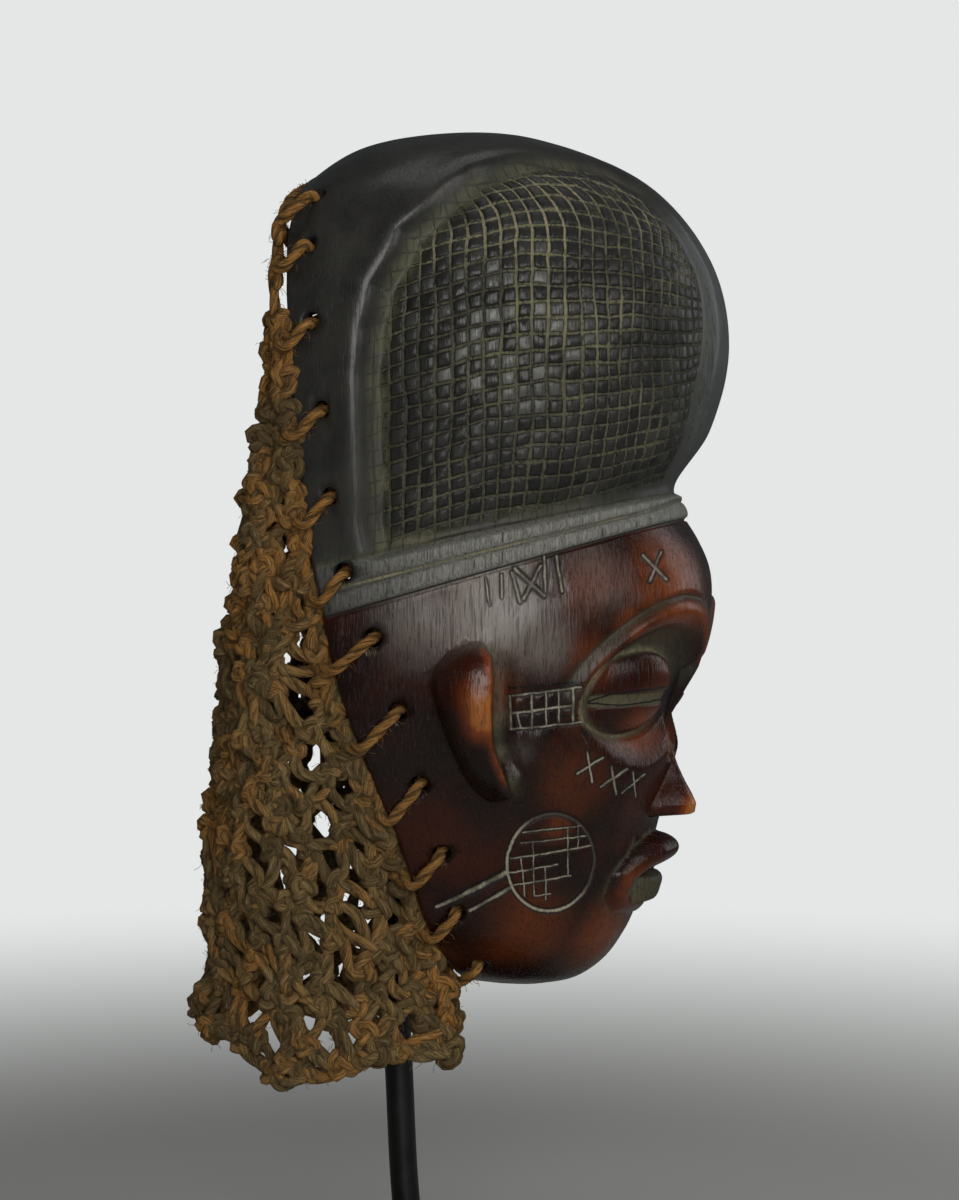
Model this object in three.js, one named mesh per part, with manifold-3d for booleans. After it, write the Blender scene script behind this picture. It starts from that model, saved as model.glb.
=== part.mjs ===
// A carved wooden face mask with a knotted cord net, held up on a rod with a foot plate.
// Millimetres, +Z up, the face looks towards -Y. The origin is the middle of the foot's underside.
import * as THREE from "three";
import Module from "manifold-3d";

const wasm = await Module();
wasm.setup();
const { Manifold, Mesh } = wasm;

// Driving dimensions.
const CHIN = 110; // height of the lowest point of the wood
const WALL = 11.5; // thickness of the wood behind the face
const EDGE = 9.5; // width of the wood's edge, seen from behind
const RIM_BACK = 2.2; // how far the edge is rounded back
const HOLE_R = 3.3; // lacing holes
const CORD_R = 2; // lacing cord
const STITCH_DROP = 8.2; // how far below its hole a stitch goes over the edge
const NET_T = 4; // thickness of the net's curtain
const ROD_R = 5;
const PLATE = { side: 140, thick: 8 };
const FIT = 0.3; // gap between pieces that touch

const { PI, abs, sin, cos, sqrt, min, max, exp, hypot } = Math;
const clamp = (x, a = 0, b = 1) => min(b, max(a, x));
const step = (a, b, x) => {
  const k = clamp((x - a) / (b - a));
  return k * k * (3 - 2 * k);
};
// Straight-line table, keys rising.
const table = (rows, x) => {
  if (x <= rows[0][0]) return rows[0][1];
  for (let i = 1; i < rows.length; i++)
    if (x <= rows[i][0]) {
      const f = (x - rows[i - 1][0]) / (rows[i][0] - rows[i - 1][0]);
      return rows[i - 1][1] + (rows[i][1] - rows[i - 1][1]) * f;
    }
  return rows[rows.length - 1][1];
};

// The wood's smooth outer form.
// Each row: middle line Y, Z; edge half width, Y, Z; squareness. Z counts from the chin.
const STATIONS = [
  [26.8, 287, 0, 26.8, 287, 2.4],
  [-4, 298, 48, 26, 278, 2.4],
  [-46, 297, 71, 24, 262, 2.35],
  [-85.5, 279.7, 78, 22.3, 243, 2.3],
  [-106.3, 253.3, 80, 21, 222, 2.3],
  [-112, 225.3, 79.7, 19.5, 200, 2.3],
  [-105.2, 195.5, 78.6, 16.8, 176, 2.3],
  [-93.4, 174.6, 77, 13.6, 152, 2.3],
  [-96.5, 165.3, 75.8, 10, 134.3, 2.25],
  [-101.8, 157, 75.3, 8.6, 124, 2.2],
  [-105.6, 148, 74.6, 6.5, 115, 2.2],
  [-106.6, 137, 73.8, 4, 106, 2.2],
  [-106, 126, 72.6, 1.5, 97, 2.2],
  [-103.5, 115, 71, -2, 88, 2.2],
  [-100, 104, 69, -5, 79, 2.2],
  [-97, 93, 66.5, -8, 70, 2.2],
  [-94.2, 82, 63.5, -11, 61.5, 2.15],
  [-91, 71, 60.5, -13, 53.5, 2.15],
  [-88, 60, 57.5, -14.7, 46, 2.1],
  [-85.7, 49.5, 53.5, -16.2, 38.5, 2.1],
  [-83.5, 39.5, 49.5, -17.4, 31.5, 2.1],
  [-80.5, 30, 45, -18.5, 25, 2.1],
  [-76.3, 20.5, 39.5, -19.6, 18.7, 2.1],
  [-70, 11.5, 32, -21.2, 12.5, 2.1],
  [-61.5, 4.5, 24, -22.6, 7.5, 2.1],
  [-50, 1.2, 15, -23.6, 4, 2.1],
  [-37, 0, 7, -24.4, 2, 2.1],
  [-25, 1, 0, -25, 1, 2.1],
];
const LAST = STATIONS.length - 1;

// Smooth curve through table rows, spaced by their distance apart.
function spline(rows) {
  const n = rows.length - 1;
  const h = rows.slice(1).map((b, i) => {
    const d = b.map((v, k) => v - rows[i][k]);
    return 0.5 * (hypot(d[0], d[1]) + hypot(...d.slice(2, 5)));
  });
  const tan = rows.map((p, i) =>
    i === 0 || i === n
      ? null
      : p.map(
          (v, k) =>
            (((rows[i + 1][k] - v) / h[i]) * h[i - 1] +
              ((v - rows[i - 1][k]) / h[i - 1]) * h[i]) /
            (h[i - 1] + h[i]),
        ),
  );
  tan[0] = rows[0].map((v, k) => (2 * (rows[1][k] - v)) / h[0] - tan[1][k]);
  tan[n] = rows[n].map(
    (v, k) => (2 * (v - rows[n - 1][k])) / h[n - 1] - tan[n - 1][k],
  );
  return (u) => {
    u = clamp(u, 0, n);
    const i = min(Math.floor(u), n - 1),
      f = u - i,
      f2 = f * f,
      f3 = f2 * f;
    return rows[i].map(
      (v, k) =>
        (2 * f3 - 3 * f2 + 1) * v +
        (f3 - 2 * f2 + f) * h[i] * tan[i][k] +
        (3 * f2 - 2 * f3) * rows[i + 1][k] +
        (f3 - f2) * h[i] * tan[i + 1][k],
    );
  };
}
const stationAt = spline(STATIONS);

function form(u, t, at = stationAt) {
  const [my, mz, w, ry, rz, n] = at(u);
  const a = (t * PI) / 2,
    c = max(0, cos(a)),
    s = sin(a);
  const r = (c ** n + abs(s) ** n) ** (-1 / n);
  return [w * r * s, ry + (my - ry) * r * c, rz + (mz - rz) * r * c];
}
function normal(u, t, at = stationAt) {
  const uu = clamp(u, 0.02, LAST - 0.02);
  const a = form(uu - 0.01, t, at),
    b = form(uu + 0.01, t, at),
    c = form(uu, t - 0.004, at),
    d = form(uu, t + 0.004, at);
  const p = b.map((v, i) => v - a[i]),
    q = d.map((v, i) => v - c[i]);
  let n = [
    q[1] * p[2] - q[2] * p[1],
    q[2] * p[0] - q[0] * p[2],
    q[0] * p[1] - q[1] * p[0],
  ];
  const m = form(uu, t, at);
  const out = m[0] * n[0] + (m[1] + 20) * n[1] + (m[2] - 150) * n[2];
  const l = hypot(...n) * (out < 0 ? -1 : 1) || 1;
  return n.map((v) => v / l);
}

// Carving.
// Border of the crosshatched panel of the coiffure (u, |t|, depth of the trough inside it).
const PANEL = [
  [7.15, 0.87, 4.5],
  [6.6, 0.88, 5.2],
  [6.01, 0.88, 5.4],
  [5.3, 0.88, 5.4],
  [4.6, 0.875, 5.4],
  [3.99, 0.86, 5.2],
  [3.47, 0.83, 5],
  [2.87, 0.75, 4.8],
  [2.53, 0.61, 4.4],
  [2.41, 0.53, 4],
  [2.38, 0.4, 3.6],
  [2.47, 0.27, 3.2],
  [2.68, 0.15, 2.8],
  [3.03, 0.11, 2.4],
  [3.45, 0.11, 2.2],
  [4.03, 0.11, 2.2],
  [4.5, 0.12, 2.4],
  [5.0, 0.14, 2.6],
  [5.45, 0.155, 2.6],
  [5.9, 0.14, 2.4],
  [6.4, 0.1, 2],
  [6.85, 0.07, 1.6],
  [7.02, 0.12, 1.8],
  [7.05, 0.25, 2.2],
  [7.07, 0.45, 2.6],
  [7.1, 0.58, 3],
  [7.12, 0.74, 3.4],
  [7.13, 0.84, 4],
];
const panelEdge = [];
PANEL.forEach((a, i) => {
  const b = PANEL[(i + 1) % PANEL.length];
  for (let k = 0; k < 8; k++) {
    const q = a.map((v, j) => v + ((b[j] - v) * k) / 8);
    panelEdge.push([...form(q[0], q[1]), q[2]]);
  }
});
function inPanel(u, t) {
  let hit = false;
  for (let i = 0, j = PANEL.length - 1; i < PANEL.length; j = i++) {
    const [ui, ti] = PANEL[i],
      [uj, tj] = PANEL[j];
    if (ti > t !== tj > t && u < ((uj - ui) * (t - ti)) / (tj - ti) + ui)
      hit = !hit;
  }
  return hit;
}
function panelHeight(p, u, t) {
  let best = 1e9,
    deep = 0;
  for (const e of panelEdge) {
    const d = hypot(abs(p[0]) - e[0], p[1] - e[1], p[2] - e[2]);
    if (d < best) [best, deep] = [d, e[3]];
  }
  const d = inPanel(u, abs(t)) ? best : -best;
  const ridge = 1.3 * exp(-(((d + 8) / 5) ** 2)) * step(2, 5, deep);
  return (
    ridge -
    deep * step(-6, 2.5, d) +
    (deep + 1.6) * (1 - exp(-max(d - 3, 0) / 13))
  );
}

// Two rolls of the headband.
function bandHeight(u, t) {
  const split = 7.56 - 0.2 * exp(-((t / 0.16) ** 2));
  const roll = (a, b) =>
    u > a && u < b ? sqrt(max(0, 1 - ((2 * u - a - b) / (b - a)) ** 2)) : 0;
  const edge = step(1.0, 0.93, abs(t));
  return (
    1.9 * roll(7.1, split) * edge +
    2.1 * roll(split, 8.03) -
    0.9 * exp(-(((u - 8.1) / 0.07) ** 2))
  );
}

// Face tables.
// Ears: thick lobes, rounded behind, with a steep front edge. Z, then Y of the edge.
const EAR_BACK = [
  [72, -44],
  [76, -37],
  [80, -34.5],
  [88, -30.5],
  [98, -26],
  [110, -23.5],
  [118, -27],
  [123, -33],
  [125.5, -39],
];
const EAR_FRONT = [
  [72, -47],
  [74, -52],
  [85, -50.5],
  [92, -48.5],
  [105, -47.5],
  [114, -47],
  [121, -45.5],
  [125.5, -42],
];
const EAR_PROUD = 11.5;
// Nose: Z, distance forward of the smooth form, half width.
const NOSE = [
  [62.3, 12.8, 13],
  [64, 13, 12.8],
  [66.5, 12.4, 12.2],
  [69.4, 10.2, 11.2],
  [73, 6.2, 9.5],
  [79, 1, 7],
  [85, -2.4, 5.2],
  [91, -4.6, 4.2],
  [98, -4.4, 3.6],
  [106, -2.4, 3.4],
  [114, -0.4, 3.6],
  [119, -0.2, 3.8],
];
// Lips: one ring round the mouth, from the middle of the upper lip round the corner.
const LIP = [
  // x, z, distance forward, half thickness
  [0, 50, 10.2, 5.6],
  [9, 49, 9, 5.4],
  [16, 46.6, 7, 4.9],
  [21, 42, 5, 4.2],
  [21, 36.6, 4.4, 3.8],
  [17, 32.4, 3.6, 3.4],
  [8, 30.6, 2.8, 3],
  [0, 30.2, 2.6, 3],
];
const SOCKET = { x: 27, z: 105.7, a: 27.2, b: 26, deep: 6.4 };
// Brow: a ridge round the upper side of the socket. Angle, outer edge as a share of the socket.
const BROW = [
  [-25, 1.1],
  [10, 1.12],
  [29, 1.14],
  [45, 1.19],
  [61, 1.3],
  [74, 1.38],
  [91, 1.42],
  [108, 1.48],
];

// Mesh helpers.
function solid(points, faces) {
  const made = new Manifold(
    new Mesh({
      numProp: 3,
      vertProperties: new Float32Array(points.flat()),
      triVerts: new Uint32Array(faces.flat()),
    }),
  );
  return made.volume() < 0
    ? new Manifold(
        new Mesh({
          numProp: 3,
          vertProperties: new Float32Array(points.flat()),
          triVerts: new Uint32Array(faces.map(([a, b, c]) => [a, c, b]).flat()),
        }),
      )
    : made;
}
// Closed skin from rows of equal length whose first and last rows are single points.
function skin(rows, ring) {
  const pts = [],
    at = [];
  rows.forEach((row) => {
    if (row.length === 1) {
      at.push(null);
      pts.push(row[0]);
      at[at.length - 1] = [pts.length - 1];
    } else {
      at.push(row.map((p) => pts.push(p) - 1));
    }
  });
  const f = [];
  const cols = ring;
  for (let i = 0; i + 1 < at.length; i++) {
    const a = at[i],
      b = at[i + 1];
    for (let j = 0; j < cols; j++) {
      const k = (j + 1) % cols;
      if (a.length === 1) f.push([a[0], b[j], b[k]]);
      else if (b.length === 1) f.push([a[j], b[0], a[k]]);
      else {
        const P = (n) => pts[n];
        const d1 = hypot(...P(a[j]).map((v, m) => v - P(b[k])[m])),
          d2 = hypot(...P(a[k]).map((v, m) => v - P(b[j])[m]));
        if (d1 < d2) f.push([a[j], b[j], b[k]], [a[j], b[k], a[k]]);
        else f.push([a[j], b[j], a[k]], [a[k], b[j], b[k]]);
      }
    }
  }
  return solid(pts, f);
}
function meshOf(made, name, material) {
  const m = made.getMesh();
  const v = new Float32Array(m.numVert * 3);
  for (let i = 0; i < m.numVert; i++)
    v.set(m.vertProperties.subarray(i * m.numProp, i * m.numProp + 3), i * 3);
  const g = new THREE.BufferGeometry()
    .setAttribute("position", new THREE.BufferAttribute(v, 3))
    .setIndex(new THREE.BufferAttribute(new Uint32Array(m.triVerts), 1));
  g.computeVertexNormals();
  const mesh = new THREE.Mesh(g, material);
  mesh.name = name;
  return mesh;
}
const raise = (p) => [p[0], p[1], p[2] + CHIN];

// Closed solid lofted through sections of equal length; the two ends are closed flat.
function loft(sections) {
  const k = sections[0].length,
    pts = sections.flat(),
    f = [];
  for (let i = 0; i + 1 < sections.length; i++)
    for (let j = 0; j < k; j++) {
      const a = i * k + j,
        b = i * k + ((j + 1) % k);
      f.push([a, a + k, b], [b, a + k, b + k]);
    }
  const end = (from, flip) => {
    const c = [0, 1, 2].map(
      (m) => pts.slice(from, from + k).reduce((t, p) => t + p[m], 0) / k,
    );
    pts.push(c);
    for (let j = 0; j < k; j++) {
      const a = from + j,
        b = from + ((j + 1) % k);
      f.push(flip ? [b, pts.length - 1, a] : [a, pts.length - 1, b]);
    }
  };
  end(0, true);
  end((sections.length - 1) * k, false);
  return solid(pts, f);
}
// Cord or rod: a round section carried along points.
function tube(path, radius, sides) {
  const P = path.map((p) => new THREE.Vector3(...p));
  const sections = [];
  let across = null;
  P.forEach((p, i) => {
    const along = P[min(i + 1, P.length - 1)]
      .clone()
      .sub(P[max(i - 1, 0)])
      .normalize();
    if (!across)
      across = new THREE.Vector3(1, 0, 0).cross(along).lengthSq() > 0.05
        ? new THREE.Vector3(1, 0, 0)
        : new THREE.Vector3(0, 1, 0);
    across.addScaledVector(along, -across.dot(along)).normalize();
    const up = along.clone().cross(across);
    sections.push(
      Array.from({ length: sides }, (_, k) => {
        const a = (2 * PI * k) / sides;
        return p
          .clone()
          .addScaledVector(across, radius * cos(a))
          .addScaledVector(up, radius * sin(a))
          .toArray();
      }),
    );
  });
  return loft(sections);
}
// Point on the smooth form at a given x, z (front) or y, z (side).
const seeds = [];
for (let u = 7; u < 25; u += 0.5)
  for (let t = 0; t < 0.99; t += 0.05) seeds.push([u, t, form(u, t)]);
function locate(i, a, z) {
  let best = seeds[0],
    d0 = 1e9;
  for (const s of seeds) {
    const d = (s[2][i] - a) ** 2 + (s[2][2] - z) ** 2;
    if (d < d0) [best, d0] = [s, d];
  }
  let [u, t] = best;
  for (let n = 0; n < 8; n++) {
    const p = form(u, t),
      pu = form(u + 0.01, t),
      pt = form(u, t + 0.001);
    const a11 = (pu[i] - p[i]) / 0.01,
      a12 = (pt[i] - p[i]) / 0.001,
      a21 = (pu[2] - p[2]) / 0.01,
      a22 = (pt[2] - p[2]) / 0.001;
    const det = a11 * a22 - a12 * a21 || 1e-9,
      ra = a - p[i],
      rz = z - p[2];
    u = clamp(u + (ra * a22 - rz * a12) / det, 6.5, 26);
    t = clamp(t + (a11 * rz - a21 * ra) / det, 0, 0.999);
  }
  return [u, t];
}
// x, z and a distance forward of the smooth form.
function front(x, z, out) {
  const [u, t] = locate(0, abs(x), z);
  return raise([x, form(u, t)[1] - out, z]);
}
// y, z on one side and a distance proud of the smooth form.
function beside(side, y, z, out) {
  const [u, t] = locate(1, y, z);
  const p = form(u, t),
    n = normal(u, t);
  const q = p.map((v, i) => v + n[i] * out);
  return raise([side * q[0], q[1], q[2]]);
}
// Round patch of the front surface: rings of [share of the radius, distance forward], closed below.
function patch(cx, cz, a, b, rings, below, steps) {
  const ringAt = (k, out) =>
    Array.from({ length: steps }, (_, j) => {
      const w = (2 * PI * j) / steps;
      return front(
        cx + a * k * cos(w),
        cz + b * k * sin(w),
        typeof out === "function" ? out(w) : out,
      );
    });
  const rows = [[front(cx, cz, below)], ringAt(rings[0][0], below)];
  for (const [k, out] of rings) if (k > 0) rows.push(ringAt(k, out));
  rows.push([front(cx, cz, rings[rings.length - 1][1])]);
  return skin(rows, steps);
}
// Ridge of the front surface along points [x, z, distance forward, half width].
function ridge(path, below, crown = 0.62) {
  const sections = path.map(([x, z, h, w], i) => {
    const a = path[max(i - 1, 0)],
      b = path[min(i + 1, path.length - 1)];
    const l = hypot(b[0] - a[0], b[1] - a[1]);
    const nx = -(b[1] - a[1]) / l,
      nz = (b[0] - a[0]) / l;
    const at = (k, out) => front(x + nx * w * k, z + nz * w * k, out);
    return [
      at(-1, 0.1),
      ...[-0.7, 0, 0.7].map((k) =>
        at(k, h * (1 - k * k) ** crown),
      ),
      at(1, 0.1),
      at(1, below),
      at(-1, below),
    ];
  });
  return loft(sections);
}

// Mask.
const mirror = (half) => [...half.slice(1).reverse().map((v) => -v), ...half];
const HEAD_COLS = mirror([
  0, 0.09, 0.17, 0.28, 0.4, 0.52, 0.63, 0.73, 0.8, 0.85, 0.89, 0.94, 1,
]);
const HEAD_ROWS = [
  0.3, 0.8, 1.3, 1.8, 2.15, 2.4, 2.65, 3, 3.5, 4.1, 4.8, 5.5, 6.2, 6.75, 7.05,
  7.14, 7.24, 7.36, 7.48, 7.56, 7.64, 7.78, 7.92, 8.03,
];
const FACE_COLS = mirror([
  0, 0.1, 0.2, 0.3, 0.4, 0.5, 0.6, 0.7, 0.8, 0.9, 1,
]);
const FACE_ROWS = [
  7.85, 8.5, 9.2, 10.1, 11.1, 12.1, 13.1, 14.1, 15.2, 16.4, 17.6, 18.8, 20, 21.1,
  22.1, 23.1, 24.1, 25, 26,
];

// Coiffure and headband.
function headPoint(u, t) {
  const p = form(u, t),
    n = normal(u, t);
  const lift =
    (u < 7.2 ? panelHeight(p, u, t) : 0) + (u > 6.9 ? bandHeight(u, t) : 0);
  return p.map((v, i) => v + n[i] * lift);
}
// Point of the edge at u, with the direction outwards across the edge.
function rimFrame(u) {
  const a = stationAt(max(u - 0.05, 0)),
    b = stationAt(min(u + 0.05, LAST)),
    c = stationAt(u);
  const dx = b[2] - a[2],
    dz = b[4] - a[4],
    l = hypot(dx, dz) || 1;
  return { x: c[2], y: c[3], z: c[4], ox: -dz / l, oz: dx / l };
}
// The edge's corner is rounded off: a little in and a little back.
const RIM_IN = 2.4;
function rimBack(u, side) {
  const r = rimFrame(u);
  return [side * max(0, r.x - RIM_IN * r.ox), r.y + RIM_BACK, r.z - RIM_IN * r.oz];
}
function shell(us, cols, point, first, last) {
  const rows = [first];
  for (const u of us)
    rows.push([
      ...cols.map((t) => raise(point(u, t))),
      raise(rimBack(u, 1)),
      raise(rimBack(u, -1)),
    ]);
  rows.push(last);
  return skin(rows, cols.length + 2);
}
const head = shell(
  HEAD_ROWS,
  HEAD_COLS,
  headPoint,
  [raise([0, 26.8, 287])],
  [raise([0, -40, 150])],
);
const smoothFace = shell(
  FACE_ROWS,
  FACE_COLS,
  form,
  [raise([0, -40, 160])],
  [raise([0, -25, 1])],
);

function ear(side) {
  const rows = [];
  const zs = [73.5, 76, 80, 85, 91, 98, 105, 111, 117, 121.5, 124.5];
  for (const z of zs) {
    const yb = table(EAR_BACK, z),
      yf = table(EAR_FRONT, z);
    const top = EAR_PROUD * sqrt(max(0.02, 1 - abs((z - 98.8) / 27) ** 3.2));
    const at = (s, h) => beside(side, yb + (yf - yb) * s, z, h);
    const row = [at(0, -3)];
    for (const s of [0, 0.12, 0.3, 0.5, 0.72, 0.93])
      row.push(at(s, 0.2 + top * sin((PI / 2) * min(1, s / 0.8)) ** 0.85));
    row.push(at(1, top * 0.9), at(0.97, -3));
    rows.push(row);
  }
  return loft(rows);
}
const BROW_PROUD = 1.9;
function browPath(side) {
  return BROW.map(([deg, far]) => {
    const w = (deg * PI) / 180,
      k = (1 + far) / 2;
    return [
      side * (SOCKET.x + SOCKET.a * k * cos(w)),
      SOCKET.z + SOCKET.b * k * sin(w),
      deg < 0 ? 0.6 : BROW_PROUD,
      ((far - 1) / 2) * SOCKET.b,
    ];
  });
}
let wood = head.add(smoothFace);
const ABOVE = 14; // cutting shapes reach this far in front of the form
const sockets = [-1, 1].map((side) =>
  patch(
    side * SOCKET.x,
    SOCKET.z,
    SOCKET.a,
    SOCKET.b,
    [
      [1, -0.05],
      [0.9, (w) => (sin(w) > -0.2 ? -SOCKET.deep * 0.9 : -1.6)],
      [0.7, (w) => (sin(w) > -0.2 ? -SOCKET.deep : -4)],
      [0, -SOCKET.deep],
    ],
    ABOVE,
    20,
  ),
);
// The two sockets run together across the root of the nose.
const nasion = patch(
  0,
  99,
  13,
  18,
  [
    [1, 0.2],
    [0.8, -SOCKET.deep * 0.8],
    [0.5, -SOCKET.deep],
    [0, -SOCKET.deep],
  ],
  ABOVE,
  12,
);
for (const s of [...sockets, nasion]) wood = wood.subtract(s);

// Eyes: a swelling lens cut by a slot; a smaller lens closes the slot's bottom.
const EYE = { x: 35.5, z: 107, a: 18.6, b: 14.2 };
const SLOT = { low: 102.7, high: 106.1, deep: 1.9 };
const eyes = [-1, 1].map((side) => {
  const lens = (grow, rings) =>
    patch(
      side * EYE.x,
      EYE.z,
      EYE.a - grow,
      EYE.b - grow,
      rings.map(([share, out]) => [share, out - grow]),
      -11,
      16,
    );
  const outside = lens(0, [
    [1, -5.4],
    [0.93, -2.6],
    [0.78, -0.8],
    [0.5, 0.2],
    [0, 0.6],
  ]);
  const inside = lens(SLOT.deep, [
    [1, -5.4],
    [0.85, -1.4],
    [0, 0.6],
  ]);
  const slot = loft(
    [14, 24, 34, 44, 55].map((x) => [
      front(side * x, SLOT.low, 6),
      front(side * x, SLOT.high, 6),
      front(side * x, SLOT.high, -9),
      front(side * x, SLOT.low, -9),
    ]),
  );
  return outside.subtract(slot).add(inside);
});
const noseRows = NOSE.map(([z, out, w]) => {
  const at = (k, drop) => front(w * k, z, out - drop);
  return [
    at(-1, out + 7.5),
    at(-0.8, 7.6 + min(0, out) * 0.5),
    at(-0.45, 2.6),
    at(-0.15, 0.3),
    at(0.15, 0.3),
    at(0.45, 2.6),
    at(0.8, 7.6 + min(0, out) * 0.5),
    at(1, out + 7.5),
    at(0.5, out + 12),
    at(-0.5, out + 12),
  ];
});
// Lips: the upper lip with the corners, and the thin lower rim in two halves.
const ring = [...LIP.slice(1).reverse().map(([x, ...r]) => [-x, ...r]), ...LIP];
const LOW = 5; // points of each lower half
const lips = ridge(ring.slice(LOW - 2, ring.length - LOW + 2), -4)
  .add(ridge(ring.slice(0, LOW), -4))
  .add(ridge(ring.slice(ring.length - LOW), -4));
// The blunt lower lip stands inside the ring.
const lowerLip = loft(
  [-14, -10, 0, 10, 14].map((x) => {
    const h = 7 - 0.1 * abs(x) - (abs(x) > 12 ? 1 : 0);
    return [
      front(x, 31, 1),
      front(x, 31.8, h),
      front(x, 40.4, h + 0.4),
      front(x, 41.2, 1),
      front(x, 41.2, -4),
      front(x, 31, -4),
    ];
  }),
);
for (const s of [
  ear(-1),
  ear(1),
  ridge(browPath(-1), -3),
  ridge(browPath(1), -3),
  ...eyes,
  loft(noseRows),
  lips,
  lowerLip,
])
  wood = wood.add(s);

// Hollow behind the face: the smooth form drawn in by the wall.
const BACK = 14; // how far the cutting shape stands out behind the edge
const INNER = [[44, 273, 0, 44, 273, 2.2]];
for (let i = 1; i < LAST; i++) {
  const [my, mz, , ry] = STATIONS[i],
    a = stationAt(i - 0.05),
    b = stationAt(i + 0.05);
  const l = hypot(b[0] - a[0], b[1] - a[1]);
  let ny = -(b[1] - a[1]) / l,
    nz = (b[0] - a[0]) / l;
  if (ny * (my + 20) + nz * (mz - 150) > 0) [ny, nz] = [-ny, -nz];
  const r = rimFrame(i);
  const w = r.x - EDGE * r.ox;
  if (w > 3)
    INNER.push([
      my + ny * WALL,
      mz + nz * WALL,
      w,
      ry + BACK,
      r.z - EDGE * r.oz,
      2.15,
    ]);
}
INNER.push([-8, 13, 0, -8, 13, 2.1]);
const innerAt = spline(INNER);
const CORE_COLS = 13;
const coreRows = [[raise([0, 44, 273])]];
for (let i = 1; i < INNER.length - 1; i += i < 8 ? 1 : 2)
  coreRows.push(
    Array.from({ length: CORE_COLS + 1 }, (_, j) =>
      raise(form(i, (2 * j) / CORE_COLS - 1, innerAt)),
    ),
  );
coreRows.push([raise([0, -8, 13])]);
const core = skin(coreRows, CORE_COLS + 1);

// Lacing holes along the edge (u, |t|), from the crown down to the chin.
const HOLES = [
  [1.54, 0.9],
  [2.37, 0.95],
  [3.62, 0.965],
  [4.95, 0.96],
  [6.15, 0.96],
  [7.3, 0.95],
  [9.12, 0.92],
  [11.87, 0.91],
  [14.55, 0.91],
  [17.38, 0.905],
  [20.14, 0.9],
  [23.18, 0.865],
];
const drills = [];
for (const side of [-1, 1])
  for (const [u, t] of HOLES) {
    const p = new THREE.Vector3(...raise(form(u, side * t)));
    const n = new THREE.Vector3(...normal(u, side * t));
    n.y *= 0.35;
    n.normalize();
    drills.push({ u, side, t, p, n });
  }
const along = ({ p, n }, d) => p.clone().addScaledVector(n, d).toArray();
for (const d of drills) {
  const cut = tube([along(d, -30), along(d, 10)], HOLE_R / cos(PI / 6), 6);
  // where the hole comes out inside
  const m = tube([along(d, -30), along(d, 0)], 0.5, 3).intersect(core).getMesh();
  let deep = -30;
  for (let i = 0; i < m.numVert; i++) {
    const v = m.vertProperties.subarray(i * m.numProp, i * m.numProp + 3);
    deep = max(
      deep,
      (v[0] - d.p.x) * d.n.x + (v[1] - d.p.y) * d.n.y + (v[2] - d.p.z) * d.n.z,
    );
  }
  d.inside = deep;
  d.cut = cut;
}
wood = wood.subtract(core);
for (const d of drills) wood = wood.subtract(d.cut);

// Lacing cord.
const stitches = [
  ...drills.slice(0, 12).reverse(),
  ...drills.slice(12),
];
const lace = [];
const rimAt = (u, side, out, back) => {
  const r = rimFrame(clamp(u, 0.4, LAST - 0.4));
  return raise([side * (r.x + r.ox * out), r.y + back, r.z + r.oz * out]);
};
stitches.forEach((d, i) => {
  const r = CORD_R + 0.7;
  let ue = d.u,
    best = 1e9;
  for (let u = max(0.4, d.u - 4); u < min(LAST - 0.4, d.u + 4); u += 0.05) {
    const q = rimAt(u, d.side, 0, 0);
    const k = hypot(q[0] - d.p.x, q[1] - d.p.y, q[2] - d.p.z);
    if (k < best) [best, ue] = [k, u];
  }
  const beside = rimAt(ue, d.side, 0, 0);
  let over = ue;
  while (
    over < LAST - 0.8 &&
    hypot(...rimAt(over, d.side, 0, 0).map((v, k) => v - beside[k])) < STITCH_DROP
  )
    over += 0.02;
  const um = (d.u + over) / 2,
    tm = (d.side * (d.t + 1)) / 2,
    nm = normal(um, tm);
  // behind the edge, into the hollow, out through the hole, back over the edge a little lower
  if (i > 0)
    lace.push(
      rimAt(ue, d.side, 0.4 - EDGE, RIM_BACK + r + (ue > 21 ? 1.5 : 0.7)),
      rimAt(ue, d.side, -EDGE - r - 4, 3.4),
    );
  lace.push(along(d, d.inside - r - 0.6), along(d, r));
  lace.push(
    raise(form(um, tm).map((v, k) => v + nm[k] * (r + 1.3))),
    rimAt(over, d.side, r + 1, 1.2),
    rimAt(over + 0.02, d.side, -0.9, RIM_BACK + r + 0.5),
  );
});
const lacing = tube(lace, CORD_R, 5);

// Net.
// Hanging net as one thin curtain. Height from the chin: how far back it stands, half width.
const NET_GAP = 8.5; // from the edge of the wood back to the net
const NET_BACK = [
  [-35, 50],
  [-30, 61],
  [-25, 68],
  [-14, 78],
  [4, 73],
  [33, 70.5],
  [66, 69.5],
  [99, 62],
  [135, 57.5],
  [164, 49.5],
  [178, 45.5],
  [203, 40.5],
  [226, 38.5],
  [240, 38],
];
const NET_WIDE = [
  [-44, 64],
  [0, 68],
  [50, 72],
  [100, 76.5],
  [150, 79],
  [250, 78],
];
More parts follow.
